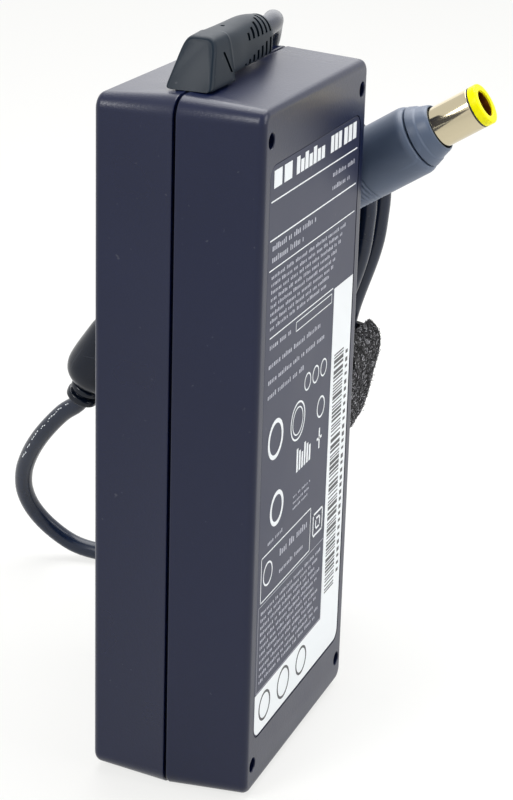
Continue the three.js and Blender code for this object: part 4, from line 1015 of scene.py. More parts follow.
# areas: from x, to x, from z, to z
RULES = [(-21.8, 21.4, 110.18, 110.42), (-21.8, 21.4, 103.58, 103.82), (-21.8, 21.4, 98.4, 98.6)]
RULES += [(-20.6, 11.2, 86.4, 86.6)]
CROSS = [(6.6, 7.2, 57, 61), (5.6, 8.2, 58.8, 59.3)]
STEPS = [(1.3 * i - 5, 1.3 * i - 4.2, 56.5, 61.0 - (i % 3) * 0.7) for i in range(6)]
WHITE_COLUMN = (PANEL_X, LABEL_HALF_X - PANEL_MARGIN, PANEL_TOP_Z, 86.2)
# frames: from x, to x, from z, to z, line width
FRAMES = [(-21.2, 4, 37.5, 46.3, 0.22), (-7.8, 10.8, 83.9, 85.7, 0.16)]
FRAMES += [(5.3, 10.7, 39.4, 44.2, 0.4), (6.7, 9.3, 40.6, 43.0, 0.4)]
GREY_FRAME = (-21.9, PANEL_X - 0.1, 20.0, 37.0, 0.14)
# rows of fine print: from x, to x, middle z, height
PRINT_ROWS = [(8.6, 20.6, 108.2, 0.95), (8.6, 18.6, 105.8, 0.95), (-20.6, 1.2, 102.3, 1.15)]
PRINT_ROWS += [(-20.6, -5, 100.3, 1.15)]
PRINT_ROWS += [(-20.6, 17 - i * 1.2, 97.2 - i * 1.28, 0.72) for i in range(8)]
PRINT_ROWS += [(-20.4, -9.9, 84.9, 1.0), (-20.6, 5.2, 81.5, 1.0), (-20.6, 8.4, 78.7, 1.0)]
PRINT_ROWS += [(-20.6, -2.5, 76.0, 1.0), (-18.3, -10.4, 48.0, 0.8), (-6, 3.2, 52.2, 0.5)]
PRINT_ROWS += [(-6, 3.0, 51.0, 0.5), (-6, 2.2, 49.9, 0.5), (-12, 2.5, 43.9, 1.5), (-12, 1.0, 40.2, 0.9)]
PRINT_ROWS += [(-20.6, 10.6 - (i % 3) * 1.4, 35.4 - i * 1.35, 0.72) for i in range(11)]
# rings: middle x, middle z, radius, line width
WHITE_RINGS = [(-0.6, 72.5, 1.7, 0.3), (3.6, 72.5, 1.7, 0.3), (7.8, 72.5, 1.7, 0.3)]
WHITE_RINGS += [(-5, 66.5, 3.7, 0.35), (-5, 66.5, 2.7, 0.25), (7.1, 65.1, 2.1, 0.35)]
WHITE_RINGS += [(-16.1, 67, 3.7, 0.8), (-14.4, 53.4, 3.3, 0.8), (-17.8, 42.2, 2.3, 0.35)]
DARK_RINGS = [(-17.4, 15.9, 2.9, 0.5), (-7.9, 15.9, 3.2, 0.5), (1.6, 15.9, 2.9, 0.5)]


def print_piece(name, skin_of_ink, material):
    """A piece of print on the label, with sharp edges."""
    finish_piece(add_piece(name, *skin_of_ink, material, 30), "label")


def slabs(areas, proud):
    """Flat ink areas: a thin closed box for each, from a little inside the film to proud of its front."""
    areas = np.array(areas)
    x, z = areas[:, [0, 1, 1, 0] * 2], areas[:, [2, 2, 3, 3] * 2]
    y = LABEL_FRONT_Y + np.repeat([-proud, INK_SUNK], 4)
    return boxes(np.stack([x, np.broadcast_to(y, x.shape), z], axis=-1))


def hoops(rings, proud):
    """Printed rings: a flat square-edged ring for each, turned about the line along Y through its middle."""
    vertices, faces = [], []
    for x, z, radius, width in rings:
        front, back = LABEL_FRONT_Y - proud, LABEL_FRONT_Y + INK_SUNK
        section = [(radius, back), (radius, front), (radius - width, front), (radius - width, back)]
        places, around = looped_skin(revolve_across(section, x, z, 36))
        faces += (np.array(around) + 36 * len(section) * len(vertices)).tolist()
        vertices.append(places)
    return np.vstack(vertices), faces


def frame_areas(x0, x1, z0, z1, line):
    """The four thin areas that make a frame."""
    level = [(x0, x1, z0, z0 + line), (x0, x1, z1 - line, z1)]
    return level + [(x0, x0 + line, z0, z1), (x1 - line, x1, z0, z1)]


def foot_panel():
    """The white panel along the label's foot, with quarter circles of radius r at its lower corners."""
    half_x, z0, r = LABEL_HALF_X - PANEL_MARGIN, LABEL_LOW_Z + PANEL_MARGIN, LABEL_R - PANEL_MARGIN
    angle = np.linspace(0, math.pi / 2, 9)
    right = np.stack([half_x - r + r * np.sin(angle), z0 + r - r * np.cos(angle)], axis=1)
    line = np.vstack([right, [(half_x, PANEL_TOP_Z), (-half_x, PANEL_TOP_Z)], right[::-1] * (-1, 1)])
    return skin(np.array([np.insert(line, 1, LABEL_FRONT_Y + y, axis=1) for y in (-INK_PROUD, INK_SUNK)]))


def print_row(x0, x1, z, height, generator):
    """Plain upright bars in groups of 2 to 9, which look like fine print from afar and say nothing."""
    pitch = 0.5 + height * 0.32
    out = []
    x = x0
    left = generator.integers(3, 10)
    while x + pitch * 0.7 < x1:
        if left == 0:
            x += pitch * 0.9
            left = generator.integers(2, 10)
            continue
        rise = height * generator.choice([0.66, 0.66, 0.72, 0.9])
        foot = z - height / 2
        out.append((x, x + pitch * generator.uniform(0.36, 0.62), foot, foot + rise))
        x += pitch
        left -= 1
    return out


def top_row():
    """The blocks along the label's top, where those of the longest group stand at two heights."""
    out = []
    for x0, x1, count in TOP_BLOCKS:
        width = (x1 - x0) / count
        for i in range(count):
            top = 115.4 if count < 4 or i in (0, 2, 4) else 114.6
            out.append((x0 + i * width, x0 + (i + 0.78) * width, 112.4, top))
    return out


def bar_columns(generator):
    """A column of bars with uneven heights and gaps, and a narrow one of even steps beside it."""
    out = []
    z = 73.0
    while z > 24.5:
        bar = generator.choice([0.28, 0.28, 0.5, 0.75])
        out.append((13.6, 18.8, z - bar, z))
        z -= bar + generator.choice([0.3, 0.3, 0.55])
    for z in np.arange(72.0, 26.0, -1.5):
        out.append((20.0, 21.2, z - generator.uniform(0.5, 0.9), z))
    return out


def make_label():
    """The label's film in its recess, and its print as thin raised ink."""
    film = label_plate(0.0, LABEL_FRONT_Y, LABEL_FRONT_Y + LABEL_THICKNESS, bevel=0.08)
    finish_piece(add_piece("rating_label_film", *skin(film), LABEL, 25), "label", "rating_label")
    generator = np.random.default_rng(7)
    pale = []
    for row in PRINT_ROWS:
        pale += print_row(*row, generator)
    white = top_row() + RULES + CROSS + STEPS + [WHITE_COLUMN]
    for one in FRAMES:
        white += frame_areas(*one)
    print_piece("label_print_white", slabs(white, INK_PROUD), INK_WHITE)
    print_piece("label_print_foot", foot_panel(), INK_WHITE)
    print_piece("label_print_pale", slabs(pale, INK_PROUD), INK_PALE)
    print_piece("label_print_rings", hoops(WHITE_RINGS, INK_PROUD), INK_WHITE)
    print_piece("label_print_bars", slabs(bar_columns(generator), DARK_INK_PROUD), INK_DARK)
    print_piece("label_print_marks", hoops(DARK_RINGS, DARK_INK_PROUD), INK_DARK)
    print_piece("label_print_grey", slabs(frame_areas(*GREY_FRAME), GREY_INK_PROUD), INK_GREY)


make_label()

# ---------------------------------------------------------------- screws

HEAD_EASE = 0.35
HEAD_GAP = 0.1
RECESS_REACH = 0.78
RECESS_HALF = 0.22
RECESS_DEPTH = 0.7


def make_screws():
    """Four turned screws, each with an eased head and a cross recess."""
    top_y = SCREW_SEAT_Y - SCREW_HEAD_HEIGHT
    foot_y = SCREW_SEAT_Y - HEAD_GAP
    head = [(0, top_y), (SCREW_HEAD_R, top_y, HEAD_EASE), (SCREW_HEAD_R, foot_y)]
    profile = rounded(head + [(SCREW_SHANK_R, foot_y), (SCREW_SHANK_R, top_y + SCREW_REACH)], 4)
    for i, (x, z) in enumerate(SCREW_PLACES):
        vertices, faces = skin(revolve_across(profile[1:], x, z, 40, way=-1))
        screw = add_piece(f"case_screw_{i + 1}_fine", vertices, faces, STEEL, 35)
        for half_x, half_z in ((RECESS_REACH, RECESS_HALF), (RECESS_HALF, RECESS_REACH)):
            low, high = (x - half_x, top_y - 1, z - half_z), (x + half_x, top_y + RECESS_DEPTH, z + half_z)
            boolean(screw, box_helper(low, high), "DIFFERENCE")
        shade(screw.data, 35)
        finish_piece(screw, "steel", f"case_screw_{i + 1}")


make_screws()

# ---------------------------------------------------------------- the mains inlet

SOCKET_EASE = 0.5
FLANGE_REACH = 8.6
FLANGE_THICKNESS = 1.8
PIN_GAP = 0.1
PIN_EASE = 0.5


def stadium(radius, z, steps=16):
    """A rectangle with half-circle ends at one Z: radius about both ends of the socket's span."""
    right = np.linspace(-math.pi / 2, math.pi / 2, steps)
    left = right + math.pi
    x = np.concatenate([SOCKET_SPAN + radius * np.cos(right), -SOCKET_SPAN + radius * np.cos(left)])
    y = np.concatenate([radius * np.sin(right), radius * np.sin(left)]) + SEAM_Y
    return np.stack([x, y, 0 * x + z], axis=1)


def make_inlet():
    """The inlet's block with its flange behind the wall, its eased socket and its two round pins."""
    low, high = (-INLET_HALF_X, SEAM_Y - INLET_HALF_Y, 0), (INLET_HALF_X, SEAM_Y + INLET_HALF_Y, INLET_DEPTH)
    inlet = box_helper(low, high)
    inlet.name = "inlet_housing_fine"
    low, high = (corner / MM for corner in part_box("inlet_housing"))
    flange_z = WALL + draft_at(SEAM_Y + FLANGE_REACH) + FIT
    flange = box_helper((low.x, low.y, flange_z), (high.x, high.y, flange_z + FLANGE_THICKNESS))
    boolean(inlet, flange, "UNION")
    wide = SOCKET_R + SOCKET_EASE
    socket = [stadium(wide, -1), stadium(wide, -0.01)]
    socket += [stadium(SOCKET_R, SOCKET_EASE), stadium(SOCKET_R, SOCKET_DEPTH)]
    boolean(inlet, helper_from_rings(socket), "DIFFERENCE")
    hole = revolve([(PIN_R + PIN_GAP, SOCKET_DEPTH - 1), (PIN_R + PIN_GAP, INLET_DEPTH + 1)], 32)
    for x in (-PIN_X, PIN_X):
        boolean(inlet, helper_from_rings(hole + np.array([x, SEAM_Y, 0])), "DIFFERENCE")
    dress(inlet, BLACK_PLASTIC)
    shade(inlet.data, 32)
    finish_piece(inlet, "black_plastic", "inlet_housing")
    profile = rounded([(0.5, PIN_START_Z), (PIN_R, PIN_START_Z, PIN_EASE), (PIN_R, PIN_END_Z)], 5)
    for name, x in (("live", -PIN_X), ("neutral", PIN_X)):
        vertices, faces = skin(revolve(profile, 40) + np.array([x, SEAM_Y, 0]))
        pin = add_piece(f"inlet_pin_{name}_fine", vertices, faces, STEEL, 40)
        finish_piece(pin, "steel", f"inlet_pin_{name}")


make_inlet()

# ---------------------------------------------------------------- the cord boot

SIDE_SLOTS = 7
ARCH_SLOTS = 6
SLIT_HIGH = (-14.45, 132.5)  # x and z of the slit's upper end
SLIT_LOW = (-12.45, 128.9)
SLIT_WIDTH = 0.75
VENT_X = -7.2
VENT_SIZE = 0.7
NECK_FLANGE_HALF = 4.4
NECK_FLANGE_LENGTH = 9.4


def boot_ring(foot_x, ridge_x, foot_z, ridge_z, foot_half, ridge_half, arch, foot, count=96):
    """An arch on a squarer foot: with s(v) = sign(v) |v|^(2/q), rise = (s(sin a) + 1) / 2.

    y = s(cos a) * half(rise). The power q is that of the arch where sin a > 0 and that of the foot below.
    X, Z and the half width all run from their foot value to their ridge value as rise goes from 0 to 1.
    """
    angle = (np.arange(count) + 0.5) / count * 2 * math.pi
    share = 2 / np.where(np.sin(angle) > 0, arch, foot)
    rise = (np.sign(np.sin(angle)) * np.abs(np.sin(angle)) ** share + 1) / 2
    across = np.sign(np.cos(angle)) * np.abs(np.cos(angle)) ** share
    x = foot_x + (ridge_x - foot_x) * rise
    y = SEAM_Y + across * (foot_half + (ridge_half - foot_half) * rise)
    z = foot_z + (ridge_z - foot_z) * rise
    return np.stack([x, y, z], axis=1)


def front_ring(angle):
    """A ring of the boot's leaning front edge, eased by a quarter ellipse."""
    back, drawn = 1.3 * (1 - math.cos(angle)), 0.85 * (1 - math.sin(angle))
    foot_x, ridge_x = BOOT_FRONT_X + back, BOOT_FRONT_X + BOOT_LEAN + back
    foot_half, ridge_half = BOOT_HALF - drawn * 0.7, BOOT_RIDGE_HALF - drawn * 0.8
    return boot_ring(foot_x, ridge_x, BOOT_FOOT_Z, BOOT_RIDGE_Z - drawn, foot_half, ridge_half, 4.6, 14)


def upright(x, foot_z, ridge_z, foot_half, ridge_half, arch, foot):
    """A ring of the boot in a plane of constant X."""
    return boot_ring(x, x, foot_z, ridge_z, foot_half, ridge_half, arch, foot)


def sleeve_end(short, drawn):
    """A ring near the sleeve's end, drawn in on all sides."""
    half = SLEEVE_END_HALF - drawn
    ridge_z = SLEEVE_RIDGE_Z - 0.6 - drawn
    return upright(SLEEVE_END_X - short, SLEEVE_FOOT_Z + drawn, ridge_z, half, half, 2, 7)


def blend_rings(keys, between):
    """More rings between given ones, on cubics whose slopes are the mean of both neighbours' steps."""
    keys = np.array(keys)
    slopes = np.gradient(keys, axis=0)
    out = []
    for t in np.linspace(0, len(keys) - 1, (len(keys) - 1) * between + 1):
        i = min(int(t), len(keys) - 2)
        u = t - i
        h00, h10 = 2 * u**3 - 3 * u**2 + 1, u**3 - 2 * u**2 + u
        h01, h11 = -2 * u**3 + 3 * u**2, u**3 - u**2
        out.append(h00 * keys[i] + h10 * slopes[i] + h01 * keys[i + 1] + h11 * slopes[i + 1])
    return out


def boot_body():
    """The boot's rings along X: an eased front edge, the leaning block, then the arched sleeve."""
    ridge_z = BOOT_RIDGE_Z + 0.1
    rings = [front_ring(angle) for angle in np.linspace(0, math.pi / 2, 9)]
    block = [rings[-1], upright(BOOT_REAR_X, BOOT_FOOT_Z, ridge_z, BOOT_HALF, 2.9, 5, 14)]
    rings += blend_rings(block, 6)[1:]
    rings.append(upright(BOOT_REAR_X + 0.12, SLEEVE_FOOT_Z - 0.4, ridge_z, BOOT_HALF - 0.05, 2.9, 5, 14))
    slots_end_x = SLOT_START_X + 3 * SLOT_PITCH
    sleeve = [
        upright(BOOT_REAR_X + 0.4, SLEEVE_FOOT_Z, ridge_z, BOOT_HALF - 0.3, 2.9, 4, 8),
        upright(BOOT_REAR_X + 4, SLEEVE_FOOT_Z, BOOT_RIDGE_Z + 0.2, 3.9, 3.1, 3, 8),
        upright(SLOT_START_X, SLEEVE_FOOT_Z, BOOT_RIDGE_Z + 0.4, 3.6, 3.2, 2.4, 8),
        upright(slots_end_x, SLEEVE_FOOT_Z, SLEEVE_RIDGE_Z, 3.4, 3.3, 2.2, 8),
        sleeve_end(0.35, 0.0),
    ]
    rings += blend_rings(sleeve, 6)
    rings += [sleeve_end(0.15, 0.08), sleeve_end(0.04, 0.2), sleeve_end(0.0, 0.38)]
    return np.array(rings)


def arch_slot(x, start, end):
    """A cutter for a slot across the sleeve, which follows a circle about the arch's middle.

    Its four edges lie at (-r cos a, r sin a) from there, with a from start to end degrees above the side.
    """
    angle = np.radians(np.linspace(start, end, 13))[:, None]
    reach = SLEEVE_ARCH_R + np.array([-SLOT_DEPTH, -SLOT_DEPTH, 1.25, 1.25])
    rings = np.empty((len(angle), 4, 3))
    rings[..., 0] = x + SLOT_WIDTH * np.array([0, 1, 1, 0])
    rings[..., 1] = SEAM_Y - reach * np.cos(angle)
    rings[..., 2] = SLEEVE_RIDGE_Z - SLEEVE_ARCH_R + reach * np.sin(angle)
    return helper_from_rings(rings)


def slit_cutter():
    """A slanting bar through the block's label-side flank, deeper at its lower end, where that leans out."""
    rings = []
    for high_y, low_y in ((-6.0, -6.0), (-2.2, -2.95)):
        (high_x, high_z), (low_x, low_z) = SLIT_HIGH, SLIT_LOW
        upper = [(high_x, high_y, high_z), (high_x + SLIT_WIDTH, high_y, high_z)]
        rings.append(upper + [(low_x + SLIT_WIDTH, low_y, low_z), (low_x, low_y, low_z)])
    return helper_from_rings(rings)


def make_boot():
    """The boot with its slots, slit and vent, and the neck and flange that hold it in the case."""
    vertices, faces = skin(boot_body())
    boot = add_piece("cord_boot_fine", vertices, faces, BOOT_RUBBER)
    for i in range(ARCH_SLOTS):
        top = 26 + i * 12.5
        for start, end in ((3, top), (180 - top, 177)):
            boolean(boot, arch_slot(SLOT_START_X + i * SLOT_PITCH, start, end), "DIFFERENCE")
    for i in range(SIDE_SLOTS):
        x = SLOT_START_X + (i - 1) * SLOT_PITCH
        top = SLEEVE_FOOT_Z + 0.9 + i * 0.42
        for y0, y1 in ((SEAM_Y - 6, SEAM_Y - 2.5), (SEAM_Y + 2.5, SEAM_Y + 6)):
            slot = box_helper((x, y0, SLEEVE_FOOT_Z + 0.5), (x + SLOT_WIDTH, y1, top))
            boolean(boot, slot, "DIFFERENCE")
    boolean(boot, slit_cutter(), "DIFFERENCE")
    low = (VENT_X, SEAM_Y - VENT_SIZE / 2, BOOT_RIDGE_Z - 0.5)
    high = (VENT_X + VENT_SIZE, SEAM_Y + VENT_SIZE / 2, BOOT_RIDGE_Z + 1)
    boolean(boot, box_helper(low, high), "DIFFERENCE")
    low = (NECK_X, SEAM_Y - NECK_HALF, CASE_HEIGHT - 4)
    boolean(boot, box_helper(low, (NECK_X + NECK_LENGTH, SEAM_Y + NECK_HALF, CASE_HEIGHT + 2)), "UNION")
    flange_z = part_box("cord_boot")[0].z / MM
    low = (NECK_X, SEAM_Y - NECK_FLANGE_HALF, flange_z)
    high = (NECK_X + NECK_FLANGE_LENGTH, SEAM_Y + NECK_FLANGE_HALF, flange_z + 2)
    boolean(boot, box_helper(low, high), "UNION")
    dress(boot, BOOT_RUBBER)
    shade(boot.data, 38)
    finish_piece(boot, "rubber", "cord_boot")


make_boot()

# ---------------------------------------------------------------- the ferrite sleeve and the plug


def turned_piece(name, profile, axes, material, slot, nodes=(), sides=96):
    """A piece turned about the Z of its axes, from a profile that closes on itself."""
    vertices, faces = looped_skin(revolve(profile, sides))
    finish_piece(add_piece(name, placed(vertices, axes), faces, material, 40), slot, *nodes)


def pipe(inner, outer, start, end):
    """The square profile of a pipe between two radii; its third corner is the outer one at the end."""
    return [(inner, start), (outer, start), (outer, end), (inner, end)]


def make_ferrite():
    """The moulded jacket: two raised rings, then a bulge that tapers along the cord, hollow inside."""
    outside = [
        (2.5, 1.2), (3.45, 1.2, 0.4), (3.45, 2.7, 0.35), (2.4, 2.8, 0.1), (2.4, 3.5, 0.1),
        (3.3, 3.6, 0.35), (3.3, 4.8, 0.35), (2.4, 4.9, 0.1), (2.4, 5.4, 0.1), (3.6, 5.5, 0.3),
        (4.8, 6.3, 0.6), (5.7, 7.4, 0.9), (6.1, 9.0, 1.0), (6.1, 10.5, 1.2), (5.8, 13.0, 1.4),
        (5.3, 16.0, 1.6), (4.7, 19.6, 1.7), (3.6, 22.5, 1.7), (3.1, 26.6, 0.3), (2.9, 27.0),
    ]
    inside = [(2.3, 27.0), (2.3, 17.8), (4.4, 17.8), (4.4, 6.9), (2.3, 6.9), (2.3, 1.2)]
    profile = np.vstack([rounded(outside, 5), inside])
    turned_piece("ferrite_jacket_fine", profile, FERRITE_FRAME, FERRITE_RUBBER, "rubber", ["ferrite_jacket"])


def make_barrel():
    """The plated barrel, the yellow ring in its end, a black ring that paints the shade of the gap between
    them, and the mouth's lining.
    """
    face, seat = PLUG_BARREL_REACH + PLUG_TIP_LENGTH, PLUG_BARREL_REACH + 0.3
    inner = PLUG_BARREL_R - PLUG_BARREL_WALL
    barrel = pipe(inner, PLUG_BARREL_R, -PLUG_BARREL_SEAT, PLUG_BARREL_REACH)
    barrel[2] += (0.15,)
    barrel = rounded(barrel, 4)
    turned_piece("plug_barrel_fine", barrel, PLUG_FRAME, PLUG_METAL, "plug_metal", ["plug_barrel"], 128)
    sleeve_r, bore_r, foot = inner - 0.3, inner - 0.65, -0.3
    tip = [(bore_r, foot), (sleeve_r, foot), (sleeve_r, seat), (PLUG_BARREL_R, seat, 0.1)]
    tip += [(PLUG_BARREL_R, face, 0.35), (PLUG_MOUTH_R, face, 0.3), (PLUG_MOUTH_R, seat), (bore_r, seat)]
    turned_piece(
        "plug_tip_ring_fine", rounded(tip, 6), PLUG_FRAME,
        YELLOW_PLASTIC, "yellow_plastic", ["plug_tip_ring"], 128,
    )
    lining = pipe(PLUG_MOUTH_R - 0.15, PLUG_MOUTH_R - 0.05, seat, face - 0.4)
    turned_piece("plug_mouth_lining", lining, PLUG_FRAME, CONTACT_METAL, "plug_metal")
    # painted shade: a black ring that fills the gap between the barrel and the tip ring
    gap_shade = pipe(3.3, PLUG_BARREL_R - 0.02, PLUG_BARREL_REACH + 0.03, seat - 0.03)
    turned_piece("plug_gap_shade_ring", gap_shade, PLUG_FRAME, BLACK_PLASTIC, "black_plastic")


def make_plug_inside():
    """The ring contact, the core that holds it and the centre pin."""
    contact = pipe(2.25, 2.6, -0.3, PLUG_BARREL_REACH)
    turned_piece("plug_contact_fine", contact, PLUG_FRAME, CONTACT_METAL, "plug_metal", ["plug_contact"])
    core = pipe(0.6, 3.25, -PLUG_BARREL_SEAT, -0.6)
    turned_piece("plug_core_fine", core, PLUG_FRAME, BLACK_PLASTIC, "black_plastic", ["plug_core"])
    pin = pipe(AXIS_GAP, 0.45, -PLUG_BARREL_SEAT, PLUG_BARREL_REACH + PLUG_TIP_LENGTH - 1.2)
    pin[2] += (0.3,)
    pin = rounded(pin, 5)
    turned_piece("plug_centre_pin_fine", pin, PLUG_FRAME, PLUG_METAL, "plug_metal", ["plug_centre_pin"], 32)


def make_collar():
    """The collar: a cone with a step round its middle, an eased rim and a seat for the barrel."""
    back, bore_r = COLLAR_LENGTH, PLUG_BARREL_R + 0.3
    outside = [(AXIS_GAP, -back), (6.1, -back, 0.25), (5.55, -back * 0.62, 0.12), (5.25, -back * 0.55, 0.12)]
    outside += [(COLLAR_RIM_R + 0.25, -0.35, 0.5), (COLLAR_RIM_R, 0, 0.1)]
    collar = rounded(outside + [(bore_r, 0), (bore_r, -COLLAR_SEAT), (AXIS_GAP, -COLLAR_SEAT)], 6)
    turned_piece("plug_collar_fine", collar, PLUG_FRAME, GRIP_RUBBER, "plug_rubber", ["plug_collar"], 128)


RIB_DEPTH = 0.24
RIB_PITCH = 0.8
GRIP_SHOULDER = (0.8, 1.6)  # how far the grip's shoulder draws in, and along what length
GRIP_KEYS = [
    (RELIEF_FOOT, 2.9), (RELIEF_FOOT + 2, 3.25), (RELIEF_FOOT + 5, 3.8), (GRIP_FOOT - 3, 4.6),
    (GRIP_FOOT, 5.6), (GRIP_FOOT + 2, 6.3), (GRIP_FOOT + 5, GRIP_R), (GRIP_TOP, GRIP_R),
]


def grip_radius(z):
    """The grip's radius along its axis: the strain relief, then the body with fine rings on its rear half.

    The rings take RIB_DEPTH (1 - cos(2 pi z / RIB_PITCH)) / 2 away, faded in and out at their ends.
    """
    places, radii = np.array(GRIP_KEYS).T
    rings = (1 - np.cos((z - GRIP_FOOT) / RIB_PITCH * 2 * math.pi)) / 2
    start, end = GRIP_FOOT + 1.5, GRIP_FOOT + 13.0
    fade = smoothstep(z, start, start + 1) * (1 - smoothstep(z, end, end + 1))
    return np.interp(z, places, radii) - RIB_DEPTH * rings * fade


def make_grip():
    """The grip: its radius, as a running mean away from the rings, then a quarter-ellipse shoulder."""
    drawn, length = GRIP_SHOULDER
    z = np.arange(RELIEF_FOOT, GRIP_TOP - length, 0.1)
    fine = grip_radius(z)
    smooth = np.convolve(np.pad(fine, 6, mode="edge"), np.ones(13) / 13, mode="valid")
    ribbed = (z > GRIP_FOOT + 1.4) & (z < GRIP_FOOT + 14.2)
    angle = np.linspace(0, math.pi / 2, 9)
    shoulder_r = GRIP_R - drawn * (1 - np.cos(angle))
    shoulder = np.stack([shoulder_r, GRIP_TOP - length + length * np.sin(angle)], axis=1)
    side = np.stack([np.where(ribbed, fine, smooth), z], axis=1)
    profile = np.vstack([(AXIS_GAP, RELIEF_FOOT), side, shoulder, (AXIS_GAP, GRIP_TOP)])
    turned_piece("plug_grip_fine", profile, PLUG_FRAME, GRIP_RUBBER, "plug_rubber", ["plug_grip"], 112)


make_ferrite()
make_barrel()
make_plug_inside()
make_collar()
make_grip()

# ---------------------------------------------------------------- the strap round the hank

PILE_STRANDS = 5500  # on each of the band and its tail
STRAND_LENGTHS = (0.35, 0.95)
STRAND_CURL = 0.35
# along a strand: place from 0 to 1, rise off the strap, half width
STRAND_LEVELS = [(0.0, -0.03, 0.05), (0.5, 0.13, 0.055), (1.0, -0.02, 0.035)]
STRAND_FACES = [(0, 1, 4), (0, 4, 3), (1, 2, 5), (1, 5, 4), (2, 0, 3), (2, 3, 5), (0, 2, 1)]
STRAND_FACES += [(3, 4, 7), (3, 7, 6), (4, 5, 8), (4, 8, 7), (5, 3, 6), (5, 6, 8), (6, 7, 8)]


def strap_outline(low, high, radius):
    """A rounded rectangle in X and Y at an even pace along its length."""
    outline = np.insert(rounded_rectangle(low, high, radius, 12), 2, 0.0, axis=1)
    return resample(np.vstack([outline, outline[:1]]), 0.8)[:-1]


def make_band(low, high):
    """The band round the hank: its outline carried along Z, with its outer face drawn in at both edges."""
    low_out, high_out = np.array(low) - STRAP_THICK, np.array(high) + STRAP_THICK
    outer = strap_outline(low_out, high_out, STRAP_CORNER_R + STRAP_THICK)
    inner = strap_outline(low, high, STRAP_CORNER_R)
    share = np.linspace(0, 1, len(outer), endpoint=False)
    inner = inner[(share * len(inner)).astype(int)]
    z = np.linspace(STRAP_LOW_Z, STRAP_HIGH_Z, 25)
    pull = 0.35 * (1 - smoothstep(np.minimum(z - STRAP_LOW_Z, STRAP_HIGH_Z - z), 0, 1.0))
    lift = z[:, None, None] * np.array([0, 0, 1])
    face = outer + (inner - outer) * (pull / STRAP_THICK)[:, None, None] + lift
    vertices, faces = looped_skin(np.concatenate([face, inner + lift[::-1]]))
    band = add_piece("cable_strap_band", placed(vertices, HANK_FRAME), faces, STRAP_PILE, 50)
    finish_piece(band, "strap", "cable_strap")
    return band


def make_tail(low, high):
    """The loose end: a bent plate whose middle line leaves the band at its lower edge and curls at its tip.

    Its two faces are line ± TAIL_HALF_THICK along the line's normal, carried across along X.
    """
    face_y = low[1] - STRAP_THICK
    line = [(0, low[1] - STRAP_THICK / 2, STRAP_LOW_Z + 1.0), (0, face_y - 0.6, STRAP_LOW_Z + 4.5)]
    for out, z in ((1.9, -8), (2.35, -4), (2.15, -1.4), (1.0, 0.5), (-0.3, 1.2)):
        line.append((0, face_y - out, STRAP_HIGH_Z + z))
    line = resample(spline(line, 0.5), 0.6)
    normal = np.cross(directions(line), (1, 0, 0)) * TAIL_HALF_THICK
    x0, x1 = low[0] + 0.8, high[0] - 0.8
    across = (x0 + (x1 - x0) * np.linspace(0, 1, 21))[:, None] * np.array([1, 0, 0])
    front = (line + normal)[:, None, :] + across
    back = (line - normal)[:, None, :] + across[::-1]
    vertices, faces = skin(np.concatenate([front, back], axis=1))
    tail = add_piece("cable_strap_tail", placed(vertices, HANK_FRAME), faces, STRAP_PILE, 50)
    finish_piece(tail, "strap")
    return tail


def scatter(piece, count, generator):
    """Places on a mesh and the normals there: triangles picked by area, then a + (b - a) u + (c - a) v."""
    mesh = piece.data
    mesh.calc_loop_triangles()
    places = np.empty(3 * len(mesh.vertices), np.float32)
    mesh.vertices.foreach_get("co", places)
    triangles = np.empty(3 * len(mesh.loop_triangles), np.int32)
    mesh.loop_triangles.foreach_get("vertices", triangles)
    corners = places.astype(float).reshape(-1, 3)[triangles.reshape(-1, 3)]
    a, b, c = corners[:, 0], corners[:, 1], corners[:, 2]
    cross = np.cross(b - a, c - a)
    area = np.linalg.norm(cross, axis=1)
    normal = cross / np.maximum(area, 1e-15)[:, None]
    chosen = generator.choice(len(corners), size=count, p=area / area.sum())
    u, v = generator.random((2, count, 1))
    outside = (u + v) > 1
    u, v = np.where(outside, 1 - u, u), np.where(outside, 1 - v, v)
    a, b, c = a[chosen], b[chosen], c[chosen]
    return (a + (b - a) * u + (c - a) * v) / MM, normal[chosen]


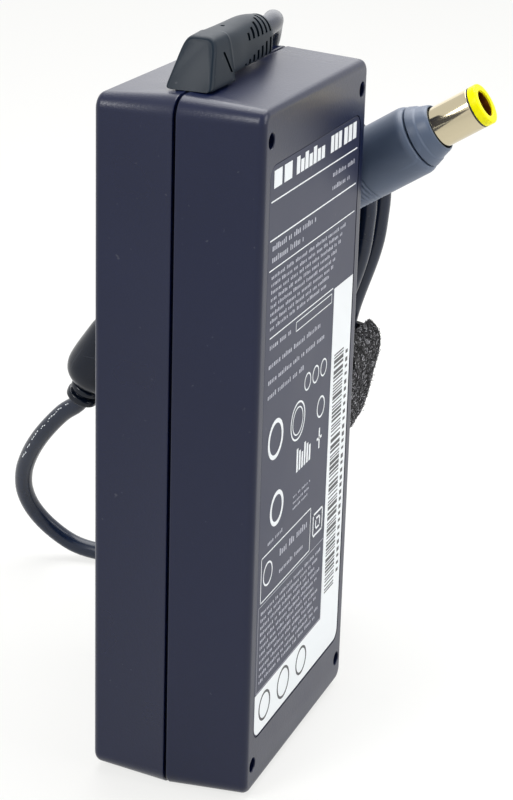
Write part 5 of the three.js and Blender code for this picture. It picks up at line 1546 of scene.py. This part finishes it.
def make_pile(carriers):
    """Short strands that lie on the strap in all directions: three triangles of points each, skinned.

    A section's middle is start + heading * length (t - 1/2) + normal * rise + side * 4 curl t (1 - t).
    """
    generator = np.random.default_rng(11)
    scattered = [scatter(carrier, PILE_STRANDS, generator) for carrier in carriers]
    start, normal = (np.vstack(parts) for parts in zip(*scattered))
    total = len(start)
    length = generator.uniform(*STRAND_LENGTHS, (total, 1))
    heading = np.cross(normal, generator.normal(size=(total, 3)))
    heading /= np.linalg.norm(heading, axis=1)[:, None]
    side = np.cross(normal, heading)
    curl = generator.normal(0, STRAND_CURL, (total, 1))
    levels = []
    for t, rise, width in STRAND_LEVELS:
        centre = start + heading * length * (t - 0.5) + normal * rise + side * curl * t * (1 - t) * 4
        for turn in (0, 2.1, 4.2):
            levels.append(centre + side * width * math.cos(turn) + normal * width * math.sin(turn))
    vertices = np.stack(levels, axis=1).reshape(-1, 3)
    faces = (np.arange(total)[:, None, None] * len(levels) + np.array(STRAND_FACES)).reshape(-1, 3)
    pile = add_piece("cable_strap_pile", vertices, faces.tolist(), STRAP_FIBRE_GLINTS, 60)
    # the tone is mostly near 0; the few strands near 1 carry painted glints
    tone = pile.data.attributes.new("tone", "FLOAT", "FACE")
    tone.data.foreach_set("value", np.repeat(generator.random(total) ** 5, len(STRAND_FACES)))
    finish_piece(pile, "strap")


def make_strap():
    """The strap: a band that fits round the hank's strands, its loose end and the pile on both."""
    line = hank_line()
    near = line[(line[:, 2] > STRAP_LOW_Z - 2) & (line[:, 2] < STRAP_HIGH_Z + 2), 1]
    room = CORD_R + STRAP_GAP
    low, high = (HANK_FRONT_X - room, near.min() - room), (HANK_BACK_X + room, near.max() + room)
    make_pile([make_band(low, high), make_tail(low, high)])


make_strap()

# ---------------------------------------------------------------- what is left of the construction

CARRIED = {
    "rubber": CORD_RUBBER,
    "board": BOARD_GREEN,
    "black_plastic": BLACK_PLASTIC,
    "yellow_plastic": YELLOW_PLASTIC,
    "blue_plastic": BLUE_SLEEVE,
    "copper": COPPER,
    "aluminium": ALUMINIUM,
    "ferrite": FERRITE_GREY,
    "pale_plastic": PALE_TAPE,
    "white_insulation": WHITE_WIRE,
    "red_insulation": RED_WIRE,
    "steel": STEEL,
    "plug_metal": PLUG_METAL,
    "plug_rubber": GRIP_RUBBER,
    "strap": STRAP_PILE,
    "shell": SHELL,
    "label": LABEL,
}

for subpart in frame["record"]["subparts"]:
    dress(frame["nodes"][subpart["node"]], CARRIED[subpart["material_slot"]])
